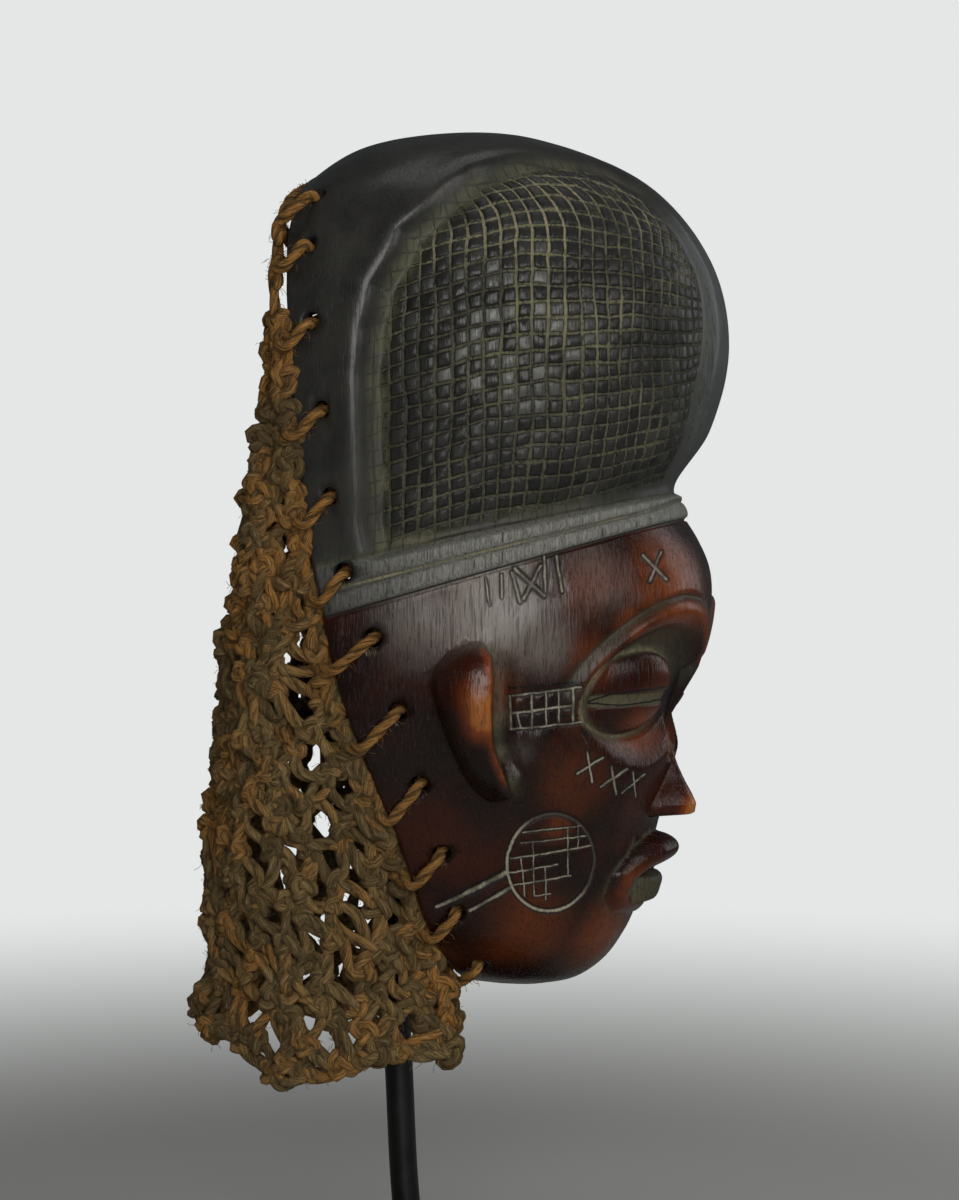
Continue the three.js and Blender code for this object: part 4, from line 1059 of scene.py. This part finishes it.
# Painted sheen: the pale reflection of the light on the temples and forehead, broken by the grain.
sheen_share = (bloom * (0.3 + streaks * 0.8)).clip()
stain = (sheen_share * 0.8).mix(stain, PAINTED_SHEEN)
stain = (cut_shade * 0.85).mix(stain, CUT_SHADE)

# The black part: lacquer, cells painted pale with glare where the light falls on them, olive dust in the
# grooves and pale dust at the top.
black = cloud.between(0.3, 0.7).mix(LACQUER, LACQUER_THIN)
black = (streaks.between(0.6, 0.8) * 0.15).mix(black, LACQUER_STREAK)
black = (luck[2] * cells * 0.8).mix(black, LACQUER_DEEP)
high = axes["Z"].between(0.29, 0.375)
olive = (spots.between(0.35, 0.7) * (0.5 + high)).clip().mix(OLIVE_DARK, OLIVE)
olive = (fine.between(0.42, 0.7) * 0.75).mix(olive, OLIVE_GRIT)
# Painted glare on the cells in the panel's middle.
black = (bloom * cells * (luck[1] * 2.2 - 1.0)).clip().mix(black, CELL_GLARE)
black = (groove * (0.3 + cloud * 1.1)).clip().mix(black, olive)
column = ink.node("ShaderNodeTexWhiteNoise", {"noise_dimensions": "1D"}, {"W": ink.maths("ROUND", counts[0])})
top_dust = (high * 1.3 - column * 0.9).clip() * (1 - gaps[0].between(0.05, 0.13))
top_dust = top_dust * hatched * spots.between(0.44, 0.60)
black = (top_dust * fine.between(0.3, 0.6) * 0.8).mix(black, DUST_TOP)
# Painted sheen on the headband and the coiffure's front edge, broken by scratches and pores.
band = soot * level.between(7.0, 7.1)
film = band.mix(RIM_SHEEN, BAND_SHEEN)
black = (bloom * (1 - hatched) * (streaks * 0.8 + pores * 2.5 - 1.0)).clip().mix(black, film)
# Painted shade in the groove under the headband.
band_shade = level.between(7.99, 8.03) * (1 - level.between(8.07, 8.1))
black = (band_shade * 0.85).mix(black, BAND_SHADE_LINE)

# Both parts together, then dust, the dark fine lines with their painted shade, the raw inside and open pores
# over them.
tone = soot.mix(stain, black)
dim_dust = dust.between(0.0, 0.5).mix(DUST_DIM, DUST_GREEN)
hairline = (1 - least_gap.between(0.03, 0.10)) * soot * dust.between(0.05, 0.3)
dim_dust = (hairline * 0.7).mix(dim_dust, HAIRLINE)
dust_tone = dust.between(0.45, 1.0).mix(dim_dust, DUST_PALE)
cover = (dust * (0.1 + streaks * 1.2 + fine * 0.7)).clip()
tone = cover.mix(tone, dust_tone)
tone = (fine_line_and_shade * 0.95).mix(tone, FINE_LINE_AND_SHADE)
tone = (cut_dust * (0.4 + fine * 0.8)).clip().mix(tone, DUST_CUT)
inside_tone = streaks.between(0.35, 0.7).mix(RAW_DARK, RAW_PALE)
tone = rough_wood.mix(tone, inside_tone)
tone = (pores.between(0.58, 0.70) * 0.5).mix(tone, PORE)
join(tone, shader, "Base Color")

# Gloss: shiny lacquer and polish, dull dust, grooves and raw wood.
dull = ink.maths("MAXIMUM", (cover * 1.3).clip(), ink.maths("MAXIMUM", rough_wood, groove))
dull = ink.maths("MAXIMUM", dull, ink.maths("MAXIMUM", cut_shade, steep) * 0.75)
low = 1 - axes["Z"].between(0.27, 0.34)
gloss = 0.21 + pores.between(0.35, 0.75) * 0.14 + bloom * 0.14 + band * 0.17
gloss = gloss + soot * (1 - band) * (0.06 + low * 0.3)
gloss = gloss + cells * (0.08 + luck[2] * 0.2 - bloom * 0.3)
gloss = ink.node("ShaderNodeMix", {"data_type": "FLOAT"}, {0: dull, 2: gloss, 3: 0.85})
join(gloss, shader, "Roughness")
scratch = streaks * 0.9 + pores * 0.8 - pores.between(0.57, 0.66) * 0.9
relief = ink.bump(scratch * (0.6 + bloom * 0.7 + band * 0.5 - (soot - band) * 0.4 + hatched * 0.3), 0.00024)
relief = ink.bump(cloud, 0.0006, relief, 0.5)
relief = ink.bump(tilted * cells * 0.8 - steep * 0.1 - groove * 0.6, 0.0009, relief)
join(relief, shader, "Normal")
coat = ink.node("ShaderNodeMix", {"data_type": "FLOAT"}, {
    0: soot, 2: (lightened + bloom) * 0.3, 3: (1 - band) * (1 - groove) * 0.16,
})
join(coat * (1 - cover), shader, "Coat Weight")
hold(shader, {"Specular IOR Level": 0.30, "Coat Roughness": 0.2})
wood.data.materials.clear()
wood.data.materials.append(wood_look)

# Lacing cord: one two-ply fibre cord that whips the net to the edge of the wood.
# It comes out of each hole, slants down and back over the edge, and runs on behind it to the next.
CORD_R = 2.0
# Distance along a cord from one strand to the next.
LAY_PITCH = 8.5
# How far inside the wood each hole ends, and how far a stitch slants down to the edge.
INSIDE_END = -10.9
STITCH_DROP = 8.2


def two_ply(spacing):
    """Section of a cord of two strands laid round each other: two lobes that turn along it."""

    def section_at(path, point, angle):
        return 0.72 + 0.30 * np.abs(np.cos(angle - np.pi * point * spacing / LAY_PITCH + path))

    return section_at


def even(path, spacing):
    """The same path with points at equal distances, along a smooth curve through its corners."""
    path = np.asarray(path, float)
    far = np.concatenate([[0], np.cumsum(np.linalg.norm(np.diff(path, axis=0), axis=1))])
    slope = np.gradient(path, far, axis=0)
    at = np.linspace(0, far[-1], max(int(far[-1] / spacing), 4))
    i = np.clip(np.searchsorted(far, at) - 1, 0, len(path) - 2)
    h = (far[i + 1] - far[i])[:, None]
    f = (at - far[i])[:, None] / h
    return smooth_between(f, path[i], path[i + 1], h, slope[i], slope[i + 1])


# How near the cord comes to both ends of u, where the edge runs out to a point.
TIP_U = 0.4


def edge_at(u, side, out, back):
    """Point by the edge at u, some way out across it and back behind it."""
    edge, way = edge_frame(np.array([np.clip(u, TIP_U, LAST - TIP_U)]))
    return np.array([
        side * (edge[0, 0] + way[0, 0] * out), edge[0, 1] + back, edge[0, 2] + way[0, 1] * out + CHIN,
    ])


# The cord's way round: up the near edge from its lowest hole, over the crown and down the far edge.
# At each stitch it comes from behind the edge through the hole, and goes down and back over the edge.
all_u = np.linspace(TIP_U, LAST - TIP_U, 1200)
all_edge = edge_frame(all_u)[0] + (0, 0, CHIN)
edge_run = np.concatenate([[0], np.cumsum(np.linalg.norm(np.diff(all_edge, axis=0), axis=1))])
on_a_side = len(HOLES)
order = [*reversed(range(on_a_side)), *range(on_a_side, 2 * on_a_side)]
route = []
for stitch, hole in enumerate(order):
    side = -1 if hole < on_a_side else 1
    beside = np.argmin(np.linalg.norm(all_edge - hole_at[hole] * (side, 1, 1), axis=1))
    near = all_u[beside]
    over = np.interp(edge_run[beside] + STITCH_DROP, edge_run, all_u)
    half_u = np.array((hole_u[hole] + over) / 2)
    half_t = (hole_t[hole] + side) / 2
    r = CORD_R + 0.7
    half_way = form(half_u, half_t) + (0, 0, CHIN) + outward(half_u, half_t) * (CORD_R + 0.5)
    lean = unit(half_way - hole_at[hole])
    if stitch:
        route.append(edge_at(near, side, 0.4 - EDGE, RIM_BACK + r + 0.7))
        route.append(edge_at(near, side, -EDGE - r - 4, 3.4))
    route.append(hole_at[hole] + hole_way[hole] * (INSIDE_END - r - 0.6))
    route.append(hole_at[hole] - hole_way[hole] * 3 + lean * 1.0)
    route.append(hole_at[hole] + hole_way[hole] * 0.9 + lean * 2.2)
    route.append(half_way)
    route.append(edge_at(over, side, CORD_R + 0.6, 0.6))
    route.append(edge_at(over + 0.02, side, -0.9, RIM_BACK + CORD_R + 0.9))
    behind = np.interp(edge_run[beside] + STITCH_DROP + 4, edge_run, all_u)
    route.append(edge_at(behind, side, -4.0, RIM_BACK + r + 0.5))
    # Past the near side's highest hole the cord crosses the crown to the far side.
    if hole == 0:
        for u, way in ((1.2, -1), (0.5, -1), (0.5, 1), (1.2, 1)):
            route.append(edge_at(u, way, -EDGE / 2, RIM_BACK + r + 0.5))
LACE_STEP = 0.9
lace_path = even(route, LACE_STEP)


def keep_vector(piece, name, values):
    """Keep one vector for each point of a piece."""
    layer = piece.data.attributes.new(name, "FLOAT_VECTOR", "POINT")
    layer.data.foreach_set("vector", np.asarray(values, np.float32).ravel())


def cords(name, bundles, palest=0.0):
    """One piece of two-ply cords. bundles holds (paths, radius, spacing, sides) of equal paths each.

    Each point keeps its place along and round its cord, how far it stands out of the groove between
    the strands, and its cord's own tone, from palest to 1.
    """
    rng = np.random.default_rng(len(name))
    points, four, three, lay, tones, grooves = [], [], [], [], [], []
    count = 0
    for paths, radius, spacing, around in bundles:
        paths = np.asarray(paths, float)
        many, long = paths.shape[:2]
        made, quads, caps = carry(paths, radius, around, two_ply(spacing))
        points.append(made)
        four.append(quads + count)
        three.append(caps + count)
        count += len(made)
        angle = np.linspace(0, 2 * np.pi, around, endpoint=False)
        laid = np.pi * np.arange(long)[:, None] * spacing / LAY_PITCH
        turned = angle - laid + np.arange(many)[:, None, None]
        along = np.broadcast_to(np.arange(long)[:, None] * spacing, turned.shape)
        start = rng.uniform(0, 400, (many, 1, 1))
        ringed = np.stack([(along + start) * 0.12, 1.8 * np.cos(turned), 1.8 * np.sin(turned)], -1)
        ends = np.zeros((many, 2, 3))
        lay.append(np.concatenate([ringed.reshape(many, -1, 3), ends], 1).reshape(-1, 3))
        groove = np.abs(np.cos(turned)).reshape(many, -1)
        grooves.append(np.concatenate([groove, np.zeros((many, 2))], 1).ravel())
        tones.append(np.repeat(rng.uniform(palest, 1, many), long * around + 2))
    piece = build(name, np.concatenate(points) * MM, np.concatenate(four), np.concatenate(three))
    keep_vector(piece, "lay", np.concatenate(lay))
    keep(piece, "ply", np.concatenate(grooves))
    keep(piece, "tone", np.concatenate(tones))
    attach(piece, "root")
    return piece


# Stray fibres: the square roots of the shortest and the longest, in mm; their radius, the distance
# between their points for the lay, and their sides.
FIBRE_ROOTS = (1.0, 2.4)
FIBRE = (0.1, 2.0, 3)
LACE_FIBRES = 3600


def stray_fibres(paths, many, radius, rng):
    """Fine fibres that stand off cords: short curves that start square to the cord and bend along it."""
    which = rng.integers(0, len(paths), many)
    where = rng.integers(1, paths.shape[1] - 1, many)
    start = paths[which, where]
    run = unit(paths[which, where + 1] - paths[which, where - 1])
    off = rng.normal(size=(many, 3))
    off = unit(off - (off * run).sum(1, keepdims=True) * run)
    long = rng.uniform(*FIBRE_ROOTS, (many, 1)) ** 2
    bend = run * rng.uniform(-1, 1, (many, 1)) - (0, 0, 0.25)
    steps = np.array([0.0, 0.5, 1.0])[None, :, None]
    off, bend, long = off[:, None], bend[:, None], long[:, None]
    away = off * (radius * 0.7 + long * (steps - 0.45 * steps**2))
    return start[:, None] + away + bend * long * steps**2 * 0.7


rng = np.random.default_rng(7)
lace_fibres = stray_fibres(lace_path[None], LACE_FIBRES, CORD_R, rng)
lacing = cords("lacing", [(lace_path[None], CORD_R, LACE_STEP, 12), (lace_fibres, *FIBRE)], palest=0.9)
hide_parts("lacing_cord")

# Fibre: tan and orange strands gone olive-grey with age, dull and hairy, with painted shade between the
# plies.
TAN, ORANGE, OLD = (0.27, 0.190, 0.082, 1), (0.46, 0.205, 0.046, 1), (0.060, 0.037, 0.017, 1)
DARK_HAIR, LIGHT_HAIR, PLY_SHADE = (0.036, 0.021, 0.009, 1), (0.60, 0.45, 0.25, 1), (0.014, 0.008, 0.004, 1)
fibre_look, ink, shader = new_material("fibre_cord")
strand = ink.node("ShaderNodeAttribute", {"attribute_name": "lay"}, out="Vector")
hairs = ink.noise(strand, 2.6, 4, 0.7)
ply = ink.given("ply")
own = ink.given("tone")
age = ink.noise(ink.place(), 26, 3, 0.6)
height = ink.node("ShaderNodeSeparateXYZ", None, {0: ink.place()}, out="Z")
warm = (age * 0.75 + own * 0.5 + height.between(0.16, 0.33) * 0.16).between(0.48, 0.98)
fibre = warm.mix(TAN, ORANGE)
fibre = ((1 - own.between(0.0, 0.6)) * 0.7).mix(fibre, OLD)
fibre = hairs.between(0.36, 0.56).mix(DARK_HAIR, fibre)
fibre = (hairs.between(0.56, 0.72) * 0.8).mix(fibre, LIGHT_HAIR)
# Painted shade in the groove between the plies.
fibre = (1 - ply.between(0.0, 0.6)).mix(fibre, PLY_SHADE)
join(fibre, shader, "Base Color")
join(ink.bump(hairs * 1.4 + ply * 0.5, 0.0012), shader, "Normal")
hold(shader, {"Roughness": 0.88, "Specular IOR Level": 0.1})
hold(shader, {"Sheen Weight": 0.25, "Sheen Roughness": 0.5, "Sheen Tint": (0.9, 0.62, 0.28, 1)})
lacing.data.materials.append(fibre_look)

# Net.
# A hand-knotted net of the same cord that hangs in a curtain behind the mask, crumpled and worn.
# Its meshes are only about 11 mm, so the knots crowd each other; loose fibres stand off the cords.
MESH = 11.5
NET_R = 2.25
NET_TOP = 232
NET_TALL = 255.0
NET_ROWS = 27
NET_FREE = 19
NET_SQUARE = 2.3
# By height over the chin: y of the back, half width, then x and y of the front edge below the wood.
# The hem's heights run from the front edge to the middle of the back.
NET_BACK = np.array([
    [-35, 50], [-30, 61], [-25, 68], [-14, 78], [4, 73], [33, 70.5], [66, 69.5], [99, 62], [135, 57.5],
    [164, 49.5], [178, 45.5], [203, 40.5], [226, 38.5], [240, 38],
])
NET_WIDE = np.array([[-44, 64], [0, 68], [50, 72], [100, 76.5], [150, 79], [250, 78]])
NET_FRONT = np.array([[-40, 35, -24], [-21, 33, -21.5], [6, 31, -17], [19, 36, -12.4]])
HEM = np.array([-22, -21, -20, -20, -30, -28, -22, -16, -16, -19, -20])


def net_measures(z):
    """At a height: front edge x and y, half width, y where the sides turn into the back, back y.

    Above NET_FREE the net follows the wood's edge, below it the table of its front edge.
    """
    x_up, y_up, z_up = (all_edge[::-1] - (0, 0, CHIN)).T
    behind = np.interp(z, [130, 200], [5.4, 4.2])
    x = np.where(z > NET_FREE, np.interp(z, z_up, x_up) - 3, np.interp(z, *NET_FRONT[:, :2].T))
    y = np.where(z > NET_FREE, np.interp(z, z_up, y_up) + behind, np.interp(z, *NET_FRONT[:, ::2].T))
    back = np.interp(z, *NET_BACK.T)
    wide = np.maximum(x, np.minimum(np.interp(z, *NET_WIDE.T), x + (back - y) * 0.5))
    return x, y, wide, y + 0.38 * (back - y), back


def net_lengths(x, y, wide, bend, back):
    """Length of one straight side of the net and of half its curved back, at one height."""
    return np.hypot(bend - y, wide - x), 1.57 * np.sqrt((wide**2 + (back - bend) ** 2) / 2)


def net_point(a, z, inset):
    """Point of the net: a runs from one front edge (-1) round the back (0) to the other (1).

    Straight sides that widen backwards, then a quarter of a superellipse to the middle of the back.
    """
    x, y, wide, bend, back = net_measures(z)
    straight, curved = net_lengths(x, y, wide, bend, back)
    part = curved / (straight + curved)
    share = np.clip((np.abs(a) - part) / (1 - part), 0, 1)
    angle = np.pi / 2 * np.clip(1 - np.abs(a) / part, 0, 1)
    r = squared_off(angle, NET_SQUARE)
    on_side = np.abs(a) > part
    side_x = x - inset + (wide - x) * np.cos(np.pi / 2 * share)
    side_y = y + (bend - y) * (1 - share)
    px = np.where(on_side, side_x, (wide - inset) * r * np.cos(angle))
    py = np.where(on_side, side_y, bend + (back - inset - bend) * r * np.sin(angle))
    # Below the wood the front edge of the far side hangs further back.
    py = py + 14 * ease(30, 0, z) * share * (a > 0)
    return np.stack([np.sign(a) * px, py, z], -1)


# Knots: rows of them down the net, each row half a mesh aside from the last, shaken out of line and
# pushed in by folds. a is the place round the net, and the last row follows the hem.
row_a, row_z, row_id = [], [], []
for row in range(NET_ROWS):
    drop = row / (NET_ROWS - 1)
    half_round = sum(net_lengths(*net_measures(np.array(NET_TOP - NET_TALL * drop))))
    count = int(2 * half_round / MESH)
    a = np.linspace(-1, 1, count)
    if row % 2:
        a = np.concatenate([[-1], (a[1:] + a[:-1]) / 2, [1]])
    hem = np.interp(np.abs(a), np.linspace(0, 1, len(HEM)), HEM[::-1]) + 4
    row_a.append(a)
    row_z.append(NET_TOP + (hem - NET_TOP) * drop)
    row_id.append(np.full(len(a), row))
knot_a, knot_z, knot_row = np.concatenate(row_a), np.concatenate(row_z), np.concatenate(row_id)
loose = np.abs(knot_a) < 0.97
flat = np.stack([knot_a * 150, knot_z], -1)
knot_a = knot_a + (0.030 * waver(flat, 58, 74) + rng.normal(0, 0.012, len(knot_a))) * loose
knot_z = knot_z + (2.6 * waver(flat, 47, 75) + rng.normal(0, 1.7, len(knot_a))) * (knot_row > 0)
plain = net_point(knot_a, knot_z, 0.0)
slack = ease(230, 190, knot_z)
fold = 0.5 + (2.2 + 3.0 * waver(plain, 58, 71)) * slack + 3.4 * waver(plain, 21, 72) * slack
fold = np.clip(fold + rng.normal(0, 1.3, len(fold)) * slack, 0, 12) + 8 * ease(185, 215, knot_z)
knots = net_point(knot_a, knot_z, fold * loose + 1.0)
face_out = unit(net_point(knot_a, knot_z, 0.0) - net_point(knot_a * 0.98, knot_z, 14.0) + (0, 1e-6, 0))


def pairs_below():
    """For each knot the two knots of the next row on either side of it; and neighbours in the hem."""
    starts = np.concatenate([[0], np.cumsum([len(a) for a in row_a])])
    found = []
    for row in range(NET_ROWS - 1):
        here = np.arange(starts[row], starts[row + 1])
        below = row_a[row + 1]
        right_of = np.clip(np.searchsorted(below, row_a[row] + 1e-6), 1, len(below) - 1)
        found.append(np.stack([here, starts[row + 1] + right_of - 1], 1))
        found.append(np.stack([here, starts[row + 1] + right_of], 1))
    first_row = np.arange(starts[0], starts[1])
    last_row = np.arange(starts[-2], starts[-1])
    across = [np.stack([row[:-1], row[1:]], 1) for row in (first_row, last_row)]
    return np.concatenate(found), *across


links, top_links, hem_links = pairs_below()


def strands(pairs, bulge, sag, long):
    """Cords from knot to knot: a Bezier curve whose two inner points are pushed about and let down."""
    a, b = knots[pairs[:, 0]], knots[pairs[:, 1]]
    n = unit(face_out[pairs[:, 0]] + face_out[pairs[:, 1]])
    many = len(pairs)
    span = np.linalg.norm(b - a, axis=1, keepdims=True)
    side = unit(np.cross(b - a, n))
    ends = []
    for share in (0.3, 0.7):
        out = n * rng.normal(0, bulge, (many, 1))
        sideways = side * rng.normal(0, 0.24, (many, 1)) * span
        ends.append(a + (b - a) * share + out + sideways - sag * np.array([0, 0, 1.0]))
    s = np.linspace(0, 1, long)[None, :, None]
    return (
        (1 - s) ** 3 * a[:, None] + 3 * s * (1 - s) ** 2 * ends[0][:, None]
        + 3 * s**2 * (1 - s) * ends[1][:, None] + s**3 * b[:, None]
    )


def knot_paths(at, n, long, crowd):
    """Knots: nearly the whole of a trefoil curve, pressed flat, each turned and sized its own way.

    crowd is the chance that a knot is a large one.
    """
    many = len(at)
    turn = rng.uniform(0, 6.28, many)
    level = unit(np.cross(n, [0.01, 0.02, 1.0]))
    upright = np.cross(n, level)
    e1 = level * np.cos(turn)[:, None] + upright * np.sin(turn)[:, None]
    e2 = np.cross(n, e1)
    lean = unit(n + e1 * rng.normal(0, 0.45, (many, 1)) + e2 * rng.normal(0, 0.45, (many, 1)))
    size = rng.uniform(0.85, 1.3, (many, 1, 1)) + 0.4 * (rng.uniform(size=(many, 1, 1)) < crowd)
    s = np.linspace(0.15, 2 * np.pi * 0.975, long)[None, :, None]
    x = np.sin(s) + 2 * np.sin(2 * s)
    y = np.cos(s) - 2 * np.cos(2 * s)
    z = -np.sin(3 * s) * 1.7
    return at[:, None] + size * (x * e1[:, None] + y * e2[:, None] + z * lean[:, None])


SIDES = 8
LINK_LONG, KNOT_LONG = ((10, 22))
BORDER_LONG = 16
FIBRES_EACH = 5
doubled = links[rng.uniform(size=len(links)) < 0.36]
edge_links = links[(np.abs(knot_a[links]) > 0.97).all(1)]
link_paths = strands(np.concatenate([links, doubled, edge_links, edge_links]), 2.0, 0.5, LINK_LONG)
border = np.concatenate([hem_links, hem_links, top_links, top_links])
border_sag = np.repeat([3.0, 0.8], [2 * len(hem_links), 2 * len(top_links)])[:, None]
border_paths = strands(border, 2.4, border_sag, BORDER_LONG)
crowd = np.where(np.abs(knot_a) > 0.93, 0.7, 0.12)[:, None, None]
tied = knot_paths(knots, face_out, KNOT_LONG, crowd)
lift_up = np.array([0, 0, CHIN])
# The net is kept as six pieces, one under another, each with the height of its foot.
NET_PARTS = {
    "net_crown": 190, "net_upper": 145, "net_middle": 95, "net_low": 45, "net_lower": 5, "net_hem": -np.inf,
}
high = np.inf
for name, low in NET_PARTS.items():
    bundles = []
    for paths, thick, spacing in ((link_paths, 1, 1.2), (tied, 0.95, 1.4), (border_paths, 1.1, 1.0)):
        height = paths[:, 0, 2]
        here = paths[(height > low) & (height <= high)]
        if len(here):
            bundles.append((here + lift_up, NET_R * thick, spacing, SIDES))
            fibres = stray_fibres(here, int(len(here) * FIBRES_EACH), NET_R * thick, rng)
            bundles.append((fibres + lift_up, *FIBRE))
    piece = cords(name, bundles)
    piece.data.materials.append(fibre_look)
    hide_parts("net")
    high = low

# Stand: the rod.
# A round steel rod, 10 mm thick, painted satin black. It rises through the net into the hollow
# and bends forward under the crown, where the mask hangs on its end.
ROD_R = 5.0
ROD_STEP = 3.0
ROD_SIDES = 32
rod_path = even([
    (0, 0.2, 8.3), (0, 0.2, 11), (0, 2.4, 30.5), (0, 5, 78.1), (0, 11.3, 194), (0, 18.2, 320), (0, 18.6, 332),
    (0, 16.5, 345), (0, 11, 356), (0, 2, 363.5), (0, -10, 367.5), (0, -22, 370), (0, -33, 373.5),
    (0, -40.5, 379), (0, -44, 386), (0, -44, 389.3),
], ROD_STEP)
rod_points, rod_four, rod_three = carry(rod_path[None], ROD_R, ROD_SIDES)
rod = build("rod", rod_points * MM, rod_four, rod_three)
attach(rod, "root")
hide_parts("stand_rod")

# Paint: satin black, a little uneven, with fine dust and hairline rubs.
PAINT_DEEP, PAINT_DUSTY = (0.0024, 0.0025, 0.0025, 1), (0.0055, 0.0056, 0.0056, 1)
steel_look, ink, shader = new_material("black_steel")
rubs = ink.noise(ink.place(scale=(1, 1, 0.05)), 700, 3, 0.6)
film = ink.noise(ink.place(), 90, 4, 0.6)
paint = film.between(0.3, 0.7).mix(PAINT_DEEP, PAINT_DUSTY)
join(paint, shader, "Base Color")
join(0.34 + film.between(0.3, 0.75) * 0.14 + rubs.between(0.55, 0.75) * 0.1, shader, "Roughness")
join(ink.bump(rubs * 0.4 + film, 0.00006), shader, "Normal")
hold(shader, {"Specular IOR Level": 0.25})
rod.data.materials.append(steel_look)

# Stand: the foot plate.
# A square of 8 mm steel with softened edges, painted like the rod that is welded to its middle.
PLATE_SIDE, PLATE_THICK, PLATE_ROUND, CORNER = 140.0, 8.0, 1.2, 3.0
turn = np.radians(np.arange(0, 360, 90)[:, None] + np.linspace(0, 90, 7))
corner_x = np.array([1, -1, -1, 1])[:, None] * (PLATE_SIDE / 2 - CORNER) + CORNER * np.cos(turn)
corner_y = np.array([1, 1, -1, -1])[:, None] * (PLATE_SIDE / 2 - CORNER) + CORNER * np.sin(turn)
outline = np.stack([corner_x.ravel(), corner_y.ravel()], -1)
bevel = np.linspace(0, np.pi / 2, 5)
drawn_in = np.concatenate([PLATE_ROUND * (1 - np.sin(bevel)), PLATE_ROUND * (1 - np.cos(bevel))])
heights = np.concatenate([PLATE_ROUND * (1 - np.cos(bevel)), PLATE_THICK - PLATE_ROUND * (1 - np.sin(bevel))])
outward_way = np.stack([np.cos(turn).ravel(), np.sin(turn).ravel()], -1)
rings = outline[None] - drawn_in[:, None, None] * outward_way[None]
raised = np.broadcast_to(heights[:, None, None], rings.shape[:2] + (1,))
sides = np.concatenate([rings, raised], -1).reshape(-1, 3)
plate_points = np.concatenate([sides, [[0, 0, 0], [0, 0, PLATE_THICK]]])
around = len(outline)
ends = np.arange(around)
last = (len(heights) - 1) * around
plate_three = np.concatenate([
    np.stack([np.full(around, last + around), (ends + 1) % around, ends], -1),
    np.stack([np.full(around, last + around + 1), last + ends, last + (ends + 1) % around], -1),
])
plate = build("plate", plate_points * MM, grid_faces(len(heights), around), plate_three)
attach(plate, "root")
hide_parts("stand_base")
plate.data.materials.append(steel_look)
